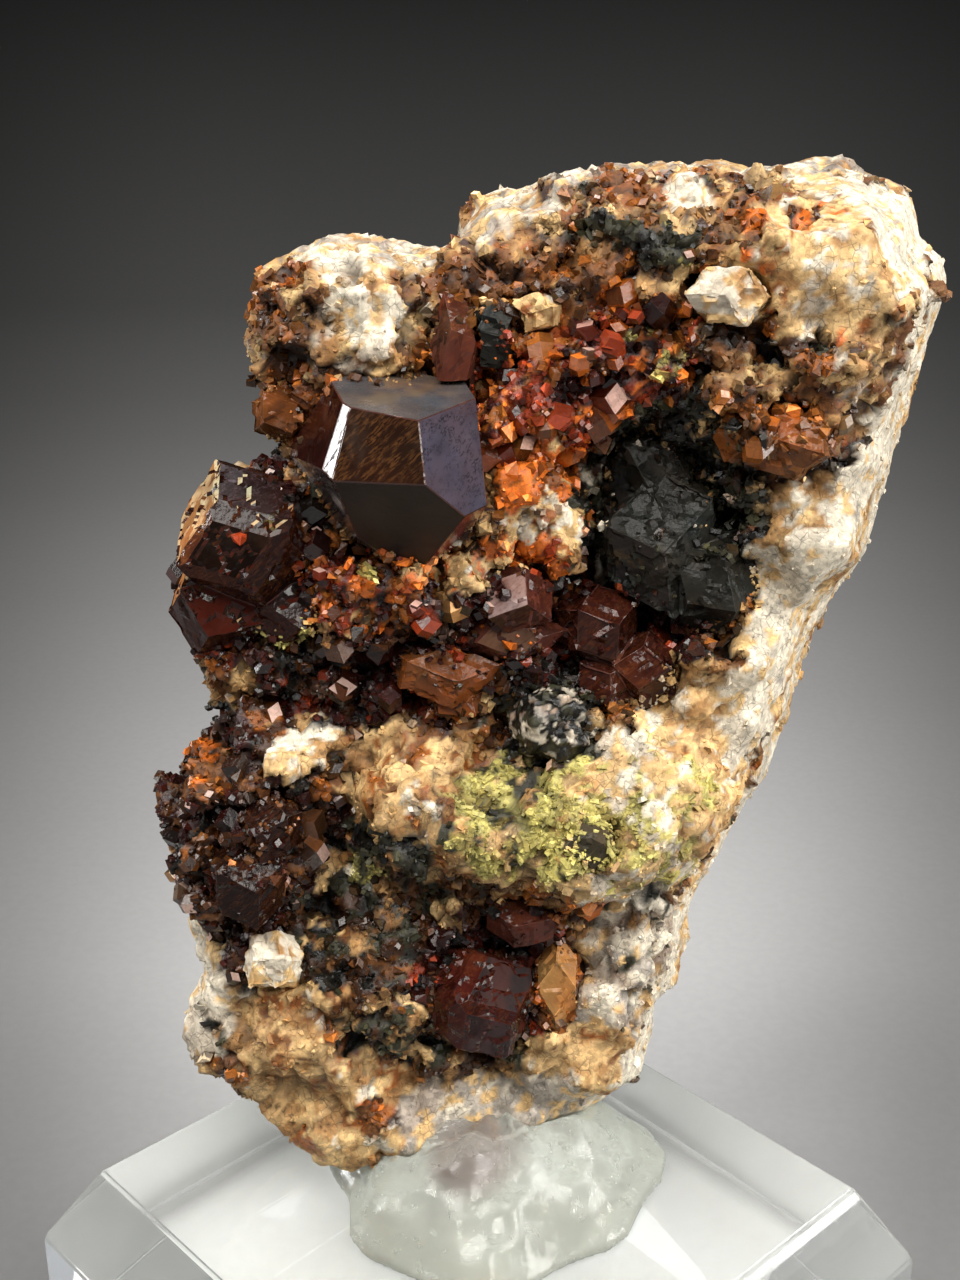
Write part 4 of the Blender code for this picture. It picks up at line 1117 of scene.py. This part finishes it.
# Faces with colours listed for them, some their own, some painted reflections and sheen: each has marks where
# slow noise passes two limits, and a share of strands in the marks' colour
Face = namedtuple("Face", "normal colour gloss mark_colour marks strands")
LARGE_FACES = (
    # painted reflection: grey as if the sky showed in this top face, with tan dust in its marks
    Face((0.05, -0.14, 0.99), (0.046, 0.042, 0.045), 0.2, (0.09, 0.065, 0.045), (0.0, 0.5), 0.5),
    # painted reflection: a lavender tint, with dark dashes in its marks
    Face((0.68, -0.62, 0.39), (0.046, 0.032, 0.042), 0.0, (0.006, 0.004, 0.006), (0.1, 0.9), 0.9),
    Face((-0.28, -0.87, 0.4), (0.016, 0.006, 0.003), 0.02, (0.13, 0.052, 0.016), (0.4, 1.6), 0.5),
    Face((-0.21, -0.78, -0.59), (0.001, 0.001, 0.002), 0.4, (0.008, 0.005, 0.006), (0.3, 0.9), 0.3),
    Face((0.59, -0.4, -0.7), (0.15, 0.028, 0.02), 0.05, (0.02, 0.006, 0.006), (0.0, 0.5), 0.5),
    Face((-0.87, -0.32, 0.39), (0.016, 0.003, 0.002), 0.05, (0.05, 0.015, 0.008), (0.3, 0.7), 0.3),
    # painted reflection: pale grey where the strip lamp on the left shows in this face
    Face((-0.69, -0.6, 0.4), (0.2, 0.19, 0.19), 0.0, (0.05, 0.03, 0.02), (0.5, 0.6), 0.2),
    Face((-0.79, -0.41, -0.47), (0.02, 0.014, 0.014), 0.05, (0.22, 0.18, 0.16), (0.3, 0.6), 0.5),
    Face((-0.51, -0.43, -0.75), (0.02, 0.014, 0.014), 0.05, (0.2, 0.16, 0.14), (0.3, 0.6), 0.5),
)
LEFT_FACES = (
    # painted sheen: the lavender marks on this top face
    Face((0.15, -0.37, 0.92), (0.016, 0.006, 0.005), 0.25, (0.32, 0.2, 0.22), (0.35, 0.6), 0.1),
    Face((-0.15, -0.97, 0.18), (0.006, 0.003, 0.002), 0.1, (0.02, 0.01, 0.006), (0.2, 0.6), 0.3),
    Face((0.18, -0.96, 0.19), (0.05, 0.008, 0.004), 0.1, (0.014, 0.004, 0.003), (0.0, 0.6), 0.3),
    Face((0.1, -0.8, 0.59), (0.01, 0.006, 0.004), 0.1, (0.12, 0.09, 0.03), (0.2, 0.5), 0.2),
    Face((0, -0.77, 0.63), (0.012, 0.004, 0.003), 0.1, (0.04, 0.012, 0.006), (0.2, 0.6), 0.2),
    Face((-0.78, -0.29, 0.55), (0.5, 0.3, 0.14), 0.4, (0.22, 0.07, 0.02), (0.0, 0.5), 0.6),
    Face((-0.37, -0.38, 0.85), (0.5, 0.36, 0.2), 0.4, (0.22, 0.07, 0.02), (0.2, 0.5), 0.6),
    Face((-0.9, -0.09, 0.43), (0.35, 0.14, 0.04), 0.4, (0.1, 0.03, 0.01), (0.0, 0.5), 0.6),
    Face((-0.54, -0.73, 0.42), (0.05, 0.014, 0.006), 0.1, (0.25, 0.09, 0.03), (0.2, 0.5), 0.6),
)
VIOLET_FACES = (
    # painted sheen: this face is lavender
    Face((-0.1, -0.87, 0.49), (0.3, 0.2, 0.18), 0.08, (0.09, 0.03, 0.02), (0.1, 0.6), 0.5),
    Face((0.03, -0.98, 0.19), (0.13, 0.055, 0.03), 0.1, (0.03, 0.01, 0.006), (0.0, 0.5), 0.6),
)
DARK_FACES = (
    Face((-0.46, -0.86, -0.21), (0.015, 0.0125, 0.012), 0.1, (0.05, 0.035, 0.02), (0.4, 0.6), 0.2),
)
LOWER_FACES = (
    Face((0.43, -0.55, 0.72), (0.005, 0.001, 0.001), 0.6, (0.03, 0.006, 0.004), (0.0, 0.5), 0.5),
    Face((0.14, -0.98, -0.14), (0.032, 0.012, 0.013), 0.1, (0.008, 0.002, 0.002), (-0.2, 0.3), 0.5),
)


# The large crystals: which of FINISHES they have, their body colour or None for the settings' colour, how
# much painted shade varies between faces, how much painted glow they show inside, how deep they are chipped
# in millimetres, how many grains stand on their open faces, and the faces with colours listed for them
LARGE, GARNET, AMBER, DARK = range(4)
Crystal = namedtuple("Crystal", "name node finish colour spread warmth chips dusting faces")
CRYSTALS = [Crystal(*row) for row in (
    ("large_garnet", "garnet_main", LARGE, None, 0.3, 0.1, 0.03, 0.015, LARGE_FACES),
    ("left_garnets", "garnet_left_cluster", GARNET, None, 0.6, 0.1, 0.4, 0.05, LEFT_FACES),
    ("upper_blade", "garnet_upper_blade", GARNET, (0.06, 0.018, 0.012), 0.5, 0.15, 0.2, 0.1, ()),
    ("lavender_garnets", "garnet_lavender", GARNET, (0.05, 0.014, 0.01), 0.6, 0.2, 0.3, 0.1, VIOLET_FACES),
    ("lower_garnet", "garnet_lower", GARNET, (0.022, 0.004, 0.003), 0.6, 0.08, 0.5, 0.02, LOWER_FACES),
    ("lower_small_garnet", "garnet_lower_small", GARNET, (0.045, 0.012, 0.008), 0.4, 0.15, 0.3, 0.1, ()),
    ("amber_pair", "garnet_amber_pair", AMBER, (0.1, 0.03, 0.007), 0.5, 0.6, 0.5, 0.3, ()),
    ("ribbed_garnet", "garnet_ribbed", AMBER, (0.09, 0.028, 0.007), 0.5, 0.55, 0.6, 0.2, ()),
    ("amber_right", "garnet_amber_right", AMBER, (0.15, 0.05, 0.012), 0.5, 0.6, 0.6, 0.3, ()),
    ("orange_crystal", "garnet_orange_base", AMBER, (0.28, 0.14, 0.045), 0.5, 0.6, 0.5, 0.2, ()),
    ("red_garnets", "garnet_red_cluster", GARNET, (0.025, 0.006, 0.004), 0.6, 0.1, 0.6, 0.15, ()),
    ("lower_left_garnets", "garnet_lower_left", GARNET, (0.010, 0.003, 0.002), 0.6, 0.08, 0.5, 0.3, ()),
    ("dark_crystals", "pyroxene_cluster", DARK, None, 0.5, 0.0, 0.9, 0.6, DARK_FACES),
    ("upper_dark_crystal", "pyroxene_upper", DARK, None, 0.4, 0.0, 0.5, 0.2, ()),
    ("ridge_dark_crystal", "pyroxene_ridge", DARK, (0.05, 0.04, 0.025), 0.4, 0.0, 0.3, 0.3, ()),
)]


class SPECIMEN_OT_crystals(bpy.types.Operator):
    """Build the large garnets and dark crystals with whole faces and worn edges"""

    bl_idname = "specimen.crystals"
    bl_label = "Large Crystals"

    def execute(self, context):
        settings = context.scene.specimen_crystals
        materials = [crystal_material(finish) for finish in FINISHES]
        for index, row in enumerate(CRYSTALS):
            body = settings.pyroxene if row.finish == DARK else settings.body
            piece = faceted_copy(row.node, row.name, settings.edge, row.chips)
            seed = FACET_SEED + 20 * index
            paint_facets(piece, row.colour or tuple(body), row.spread, seed, row.warmth, row.faces)
            settle(piece, [row.node], materials[row.finish])
        return {"FINISHED"}


class SPECIMEN_OT_broken(bpy.types.Operator):
    """Build the rough, broken crystals and the pale lumps"""

    bl_idname = "specimen.broken"
    bl_label = "Broken Crystals"

    def execute(self, context):
        glassy = rock_material("broken garnet", 3000.0, 0.5, 0.05)
        stony = rock_material("broken feldspar", 2600.0, 0.35, 0.08)
        globule = remeshed("dark_globule", "pyroxene_globule", 0.1 * MM, 0.2 * MM)
        paint_ground(globule, 0.6, 0.8, "globule")
        settle(globule, ["pyroxene_globule"], glassy)
        rows = [
            ("white_chunk", "feldspar_upper", "chunk"),
            ("small_pale_crystal", "feldspar_small", "spotted"),
            ("pale_block", "feldspar_lower", "chunk"),
        ]
        for name, node, kind in rows:
            piece = faceted_copy(node, name, 0.25 * MM, 0.8)
            paint_ground(piece, 0.26, 1.8, kind)
            piece.data.shade_flat()
            settle(piece, [node], stony)
        return {"FINISHED"}


# The families of loose grains: their count in the settings, their sizes as shares of the smallest and the
# largest grain, how uneven they are, and their look
Grain = namedtuple("Grain", "name shape share count least most uneven slot look")
GRAINS = (
    Grain("small_garnets", "garnet", "garnet", "garnets", 1.0, 0.85, 0.25, "red_druse",
        Look(0.08, 0.35, 0.6, 0.6, 0.35, 0.35)),
    Grain("garnet_grit", "chip", "garnet", "grit", 0.7, 0.75, 0.35, "red_druse",
        Look(0.12, 0.35, 0.55, 0.0, 0.35, 0.25)),
    Grain("druse_garnets", "garnet", "druse", "druse", 2.0, 2.0, 0.15, "red_druse",
        Look(0.04, 0.35, 0.7, 0.6, 0.3, 0.45)),
    Grain("calcite_grains", "flake", "calcite", "calcite", 1.0, 0.75, 0.3, "calcite",
        Look(0.45, 0.22, 0.12, 0.0, 0.5, 0.3)),
    Grain("dark_grains", "prism", "pyroxene", "pyroxene", 1.0, 0.8, 0.3, "pyroxene",
        Look(0.25, 0.4, 0.5, 0.0, 0.3, 0.25)),
    Grain("epidote_needles", "needle", "epidote", "epidote", 1.0, 0.6, 0.3, "calcite",
        Look(0.35, 0.3, 0.2, 0.0, 0.4, 0.3)),
)


class SPECIMEN_OT_grains(bpy.types.Operator):
    """Spread small crystals and grains over the rock"""

    bl_idname = "specimen.grains"
    bl_label = "Small Crystals"

    def execute(self, context):
        settings = context.scene.specimen_grains
        rocky = [bpy.data.objects[name] for name in ("rock", "hollow_crust", "calcite_lump")]
        depsgraph = context.evaluated_depsgraph_get()
        grounds = [BVHTree.FromObject(piece, depsgraph) for piece in rocky]
        contacts = [contact_surface(bpy.data.objects[row.name], grounds, row.dusting) for row in CRYSTALS]
        surface = joined_surface(rocky, contacts)
        for index, row in enumerate(GRAINS):
            material = loose_grain_material(row.name.replace("_", " "), row.look)
            values = {
                "Share": row.share,
                "Density": getattr(settings, row.count),
                "Smallest": row.least * settings.smallest,
                "Largest": row.most * settings.largest,
                "Uneven": row.uneven,
            }
            piece = scatter(row.name, surface, row.shape, settings.seed + index, material, values)
            settle(piece, [], material)
        discard(surface)
        return {"FINISHED"}


class SPECIMEN_OT_putty(bpy.types.Operator):
    """Build the clear putty with its pressed folds"""

    bl_idname = "specimen.putty"
    bl_label = "Putty"

    def execute(self, context):
        settings = context.scene.specimen_mount
        putty = remeshed("clear_putty", "mounting_putty", 0.12 * MM, 0.35 * MM)
        mesh = putty.data
        points = read_points(mesh)
        normals = read_normals(mesh)
        folds = wander(points / MM * (1.0, 0.55, 1.0), 3.4, 501, 2)
        upward = smooth(0.0, 0.5, normals[:, 2])
        write_points(mesh, points + normals * (0.45 * folds * upward * MM)[:, None])
        mesh.shade_smooth()
        material, tree, shader = new_material("clear putty gel")
        place = object_place(tree)
        ripples = noise(tree, place, 900.0, 4.0)
        shift = {0: place, 1: (1 / MM,) * 3, 2: [-part for part in QUARTZ]}
        away = {0: vector_node(tree, "MULTIPLY_ADD", shift)}
        away = add_node(tree, "ShaderNodeVectorMath", away, operation="LENGTH").outputs["Value"]
        near = ramp(tree, away, 4.8, 7.0, 1.0, 0.0)
        inputs = {
            "Base Color": mix_colours(tree, near, (*settings.putty, 1), (*settings.quartz, 1)),
            "Roughness": ramp(tree, ripples, 0.3, 0.75, 0.12, 0.3),
            "IOR": 1.38,
            "Transmission Weight": 0.74,
            "Normal": bump(tree, ripples, 0.05 * MM),
        }
        feed(tree, shader.inputs, inputs)
        settle(putty, ["mounting_putty"], material)
        return {"FINISHED"}


class SPECIMEN_OT_block(bpy.types.Operator):
    """Build the polished acrylic block"""

    bl_idname = "specimen.block"
    bl_label = "Display Block"

    def execute(self, context):
        settings = context.scene.specimen_mount
        bm = merged("base_block", 0.01 * MM, 1.0)
        bmesh.ops.bevel(
            bm, geom=bm.edges[:], offset=settings.edge, segments=3, affect="EDGES", clamp_overlap=True
        )
        block = new_piece("acrylic_block", finished_mesh(bm, "acrylic_block"))
        material, tree, shader = new_material("polished acrylic")
        scuffs = noise(tree, object_place(tree), 140.0, 6.0, 0.7)
        inputs = {
            "Base Color": (*settings.acrylic, 1),
            "Roughness": ramp(tree, scuffs, 0.45, 0.8, 0.01, 0.12),
            "IOR": 1.49,
            "Transmission Weight": 0.86,
        }
        feed(tree, shader.inputs, inputs)
        settle(block, ["base_block"], material)
        return {"FINISHED"}


# Painted light on the paper: how bright it is at each distance behind the block, in metres along the sweep
PAPER = (
    (0.02, 0.37), (0.06, 0.37), (0.1, 0.265), (0.14, 0.195), (0.185, 0.145), (0.25, 0.098), (0.34, 0.061),
    (0.42, 0.036), (0.7, 0.0085), (1.1, 0.0042),
)


def backdrop_material(colour):
    """Paper with painted light: brightest under the block, falling off to dark grey behind and to the sides.
    """
    material, tree, shader = new_material("grey paper")
    place = object_place(tree)
    x, y, z = add_node(tree, "ShaderNodeSeparateXYZ", {"Vector": place}).outputs
    depth = math_node(tree, "MULTIPLY_ADD", z, 1.6, y)
    end = PAPER[-1][0]
    fall = add_node(tree, "ShaderNodeValToRGB", {"Fac": math_node(tree, "MULTIPLY", depth, 1 / end)})
    stops = fall.color_ramp.elements
    for index, (distance, level) in enumerate(PAPER):
        stop = stops[index] if index < 2 else stops.new(distance / end)
        stop.position = distance / end
        stop.color = (level, level, level, 1)
    # painted light: the bright middle widens with distance
    aside = math_node(tree, "ABSOLUTE", x)
    widening = math_node(tree, "MAXIMUM", math_node(tree, "ADD", y, 0.107), 0.08)
    middle = ramp(tree, math_node(tree, "DIVIDE", aside, widening), 0.13, 0.37, 1.0, 0.42)
    front = ramp(tree, y, -0.075, -0.035, 1.0, 0.0)
    middle = math_node(tree, "MULTIPLY_ADD", math_node(tree, "SUBTRACT", 0.65, middle), front, middle)
    level = math_node(tree, "MULTIPLY", fall.outputs["Color"], middle)
    # painted light: the sheet is bright where the block's turned square covers it
    corner = math_node(tree, "ADD", math_node(tree, "ABSOLUTE", y), aside)
    level = math_node(tree, "MAXIMUM", level, ramp(tree, corner, 0.031, 0.037, 0.85, 0.0))
    fibres = ramp(tree, noise(tree, place, 900.0, 3.0), 0.3, 0.7, 0.98, 1.02)
    level = math_node(tree, "MULTIPLY", level, fibres)
    inputs = {
        "Base Color": scaled_by(tree, tuple(colour), level),
        "Roughness": 0.9,
        "Specular IOR Level": 0.1,
    }
    feed(tree, shader.inputs, inputs)
    return material


# Lamps, by their bearing and climb in degrees, distance and size in metres, and power in watts
Lamp = namedtuple("Lamp", "name bearing climb distance size power colour")
LAMPS = (
    Lamp("key", -45, 62, 0.9, (0.5, 0.5), 9.6, (1.0, 0.97, 0.92)),
    Lamp("front", 28, 45, 0.8, (0.25, 0.2), 2.7, (1.0, 0.97, 0.92)),
    Lamp("left strip", -103, 16, 0.45, (0.05, 0.2), 0.85, (1.0, 1.0, 1.0)),
    Lamp("right", 74, 42, 1.0, (0.5, 0.5), 8.9, (1.0, 0.98, 0.95)),
    Lamp("right panel", 95, 10, 0.6, (0.4, 0.3), 0.16, (0.75, 0.8, 1.0)),
    Lamp("low right", 77, 4, 0.6, (0.2, 0.16), 1.3, (1.0, 0.98, 0.94)),
    Lamp("behind", 165, 58, 0.6, (0.35, 0.2), 1.0, (0.95, 0.95, 1.0)),
)
LAMP_AIM = Vector((0.0, 0.0, 0.06))
CAMERA_PLACE = (0.0004, -0.10666, 0.10964)
# The sweep of paper, in metres
PAPER_HALF = 1.6  # half its width
PAPER_FRONT = -1.2
PAPER_BEND = 0.3  # where it starts to bend upward
BEND_RADIUS = 0.35
PAPER_TOP = 2.2
PAPER_DROP = 0.0002  # how far it lies under the block


def add_lamp(row):
    """An area lamp that points at the specimen."""
    lamp = bpy.data.lights.new(row.name, "AREA")
    lamp.energy = row.power
    lamp.shape = "RECTANGLE"
    lamp.size, lamp.size_y = row.size
    lamp.color = row.colour
    holder = bpy.data.objects.new(row.name, lamp)
    bpy.context.scene.collection.objects.link(holder)
    bearing, climb = math.radians(row.bearing), math.radians(row.climb)
    level = math.cos(climb)
    away = Vector((math.sin(bearing) * level, -math.cos(bearing) * level, math.sin(climb)))
    holder.location = LAMP_AIM + away * row.distance
    holder.rotation_euler = (LAMP_AIM - holder.location).to_track_quat("-Z", "Y").to_euler()


def paper_sweep():
    """A sheet that lies flat, bends upward behind the block and stands."""
    bm = bmesh.new()
    rows = [(PAPER_FRONT, 0.0), (PAPER_BEND, 0.0)]
    for degrees in range(5, 91, 5):
        turn = math.radians(degrees)
        rows.append((PAPER_BEND + BEND_RADIUS * math.sin(turn), BEND_RADIUS * (1 - math.cos(turn))))
    rows.append((PAPER_BEND + BEND_RADIUS, PAPER_TOP))
    ends = [[bm.verts.new((x, y, z - PAPER_DROP)) for x in (-PAPER_HALF, PAPER_HALF)] for y, z in rows]
    for near, far in zip(ends, ends[1:]):
        bm.faces.new((near[0], near[1], far[1], far[0]))
    mesh = finished_mesh(bm, "paper_sweep")
    mesh.shade_smooth()
    return new_piece("paper_sweep", mesh)


class SPECIMEN_OT_stage(bpy.types.Operator):
    """Set the floor, the backdrop, the soft lamps and the camera"""

    bl_idname = "specimen.stage"
    bl_label = "Stage"

    def execute(self, context):
        settings = context.scene.specimen_stage
        scene = context.scene
        sweep = paper_sweep()
        sweep.data.materials.append(backdrop_material(settings.floor))
        for row in LAMPS:
            add_lamp(row)
        world = bpy.data.worlds.new("studio")
        world.use_nodes = True
        sky = world.node_tree.nodes["Background"]
        sky.inputs["Color"].default_value = (0.9, 0.93, 1.0, 1)
        sky.inputs["Strength"].default_value = 0.1
        scene.world = world

        lens = bpy.data.cameras.new("camera")
        lens.sensor_fit = "VERTICAL"
        lens.sensor_height = 36.0
        lens.lens = settings.lens
        lens.clip_start = 0.005
        camera = bpy.data.objects.new("camera", lens)
        scene.collection.objects.link(camera)
        camera.location = CAMERA_PLACE
        camera.rotation_euler = (math.pi / 2 - settings.pitch, 0, 0)
        scene.camera = camera
        scene.view_settings.view_transform = "Standard"
        return {"FINISHED"}


OPERATORS = (
    SPECIMEN_OT_rock,
    SPECIMEN_OT_crystals,
    SPECIMEN_OT_broken,
    SPECIMEN_OT_grains,
    SPECIMEN_OT_putty,
    SPECIMEN_OT_block,
    SPECIMEN_OT_stage,
)


class SPECIMEN_PT_panel(bpy.types.Panel):
    """Lists the specimen's operators and settings"""

    bl_label = "Specimen"
    bl_idname = "SPECIMEN_PT_panel"
    bl_space_type = "VIEW_3D"
    bl_region_type = "UI"
    bl_category = "Specimen"

    def draw(self, context):
        for operator in OPERATORS:
            self.layout.operator(operator.bl_idname)
        for group, properties in SETTINGS.items():
            box = self.layout.box()
            values = getattr(context.scene, group)
            for name in properties.__annotations__:
                box.prop(values, name)


SETTINGS = {
    "specimen_rock": RockSettings,
    "specimen_grains": GrainSettings,
    "specimen_crystals": CrystalSettings,
    "specimen_mount": MountSettings,
    "specimen_stage": StageSettings,
}


def register():
    for group in (*SETTINGS.values(), *OPERATORS, SPECIMEN_PT_panel):
        bpy.utils.register_class(group)
    for name, group in SETTINGS.items():
        setattr(bpy.types.Scene, name, PointerProperty(type=group))


def unregister():
    for name in SETTINGS:
        delattr(bpy.types.Scene, name)
    for group in (SPECIMEN_PT_panel, *reversed(OPERATORS), *reversed(SETTINGS.values())):
        bpy.utils.unregister_class(group)


def main():
    register()
    for operator in OPERATORS:
        getattr(bpy.ops.specimen, operator.bl_idname.split(".")[1])()


if __name__ == "__main__":
    main()
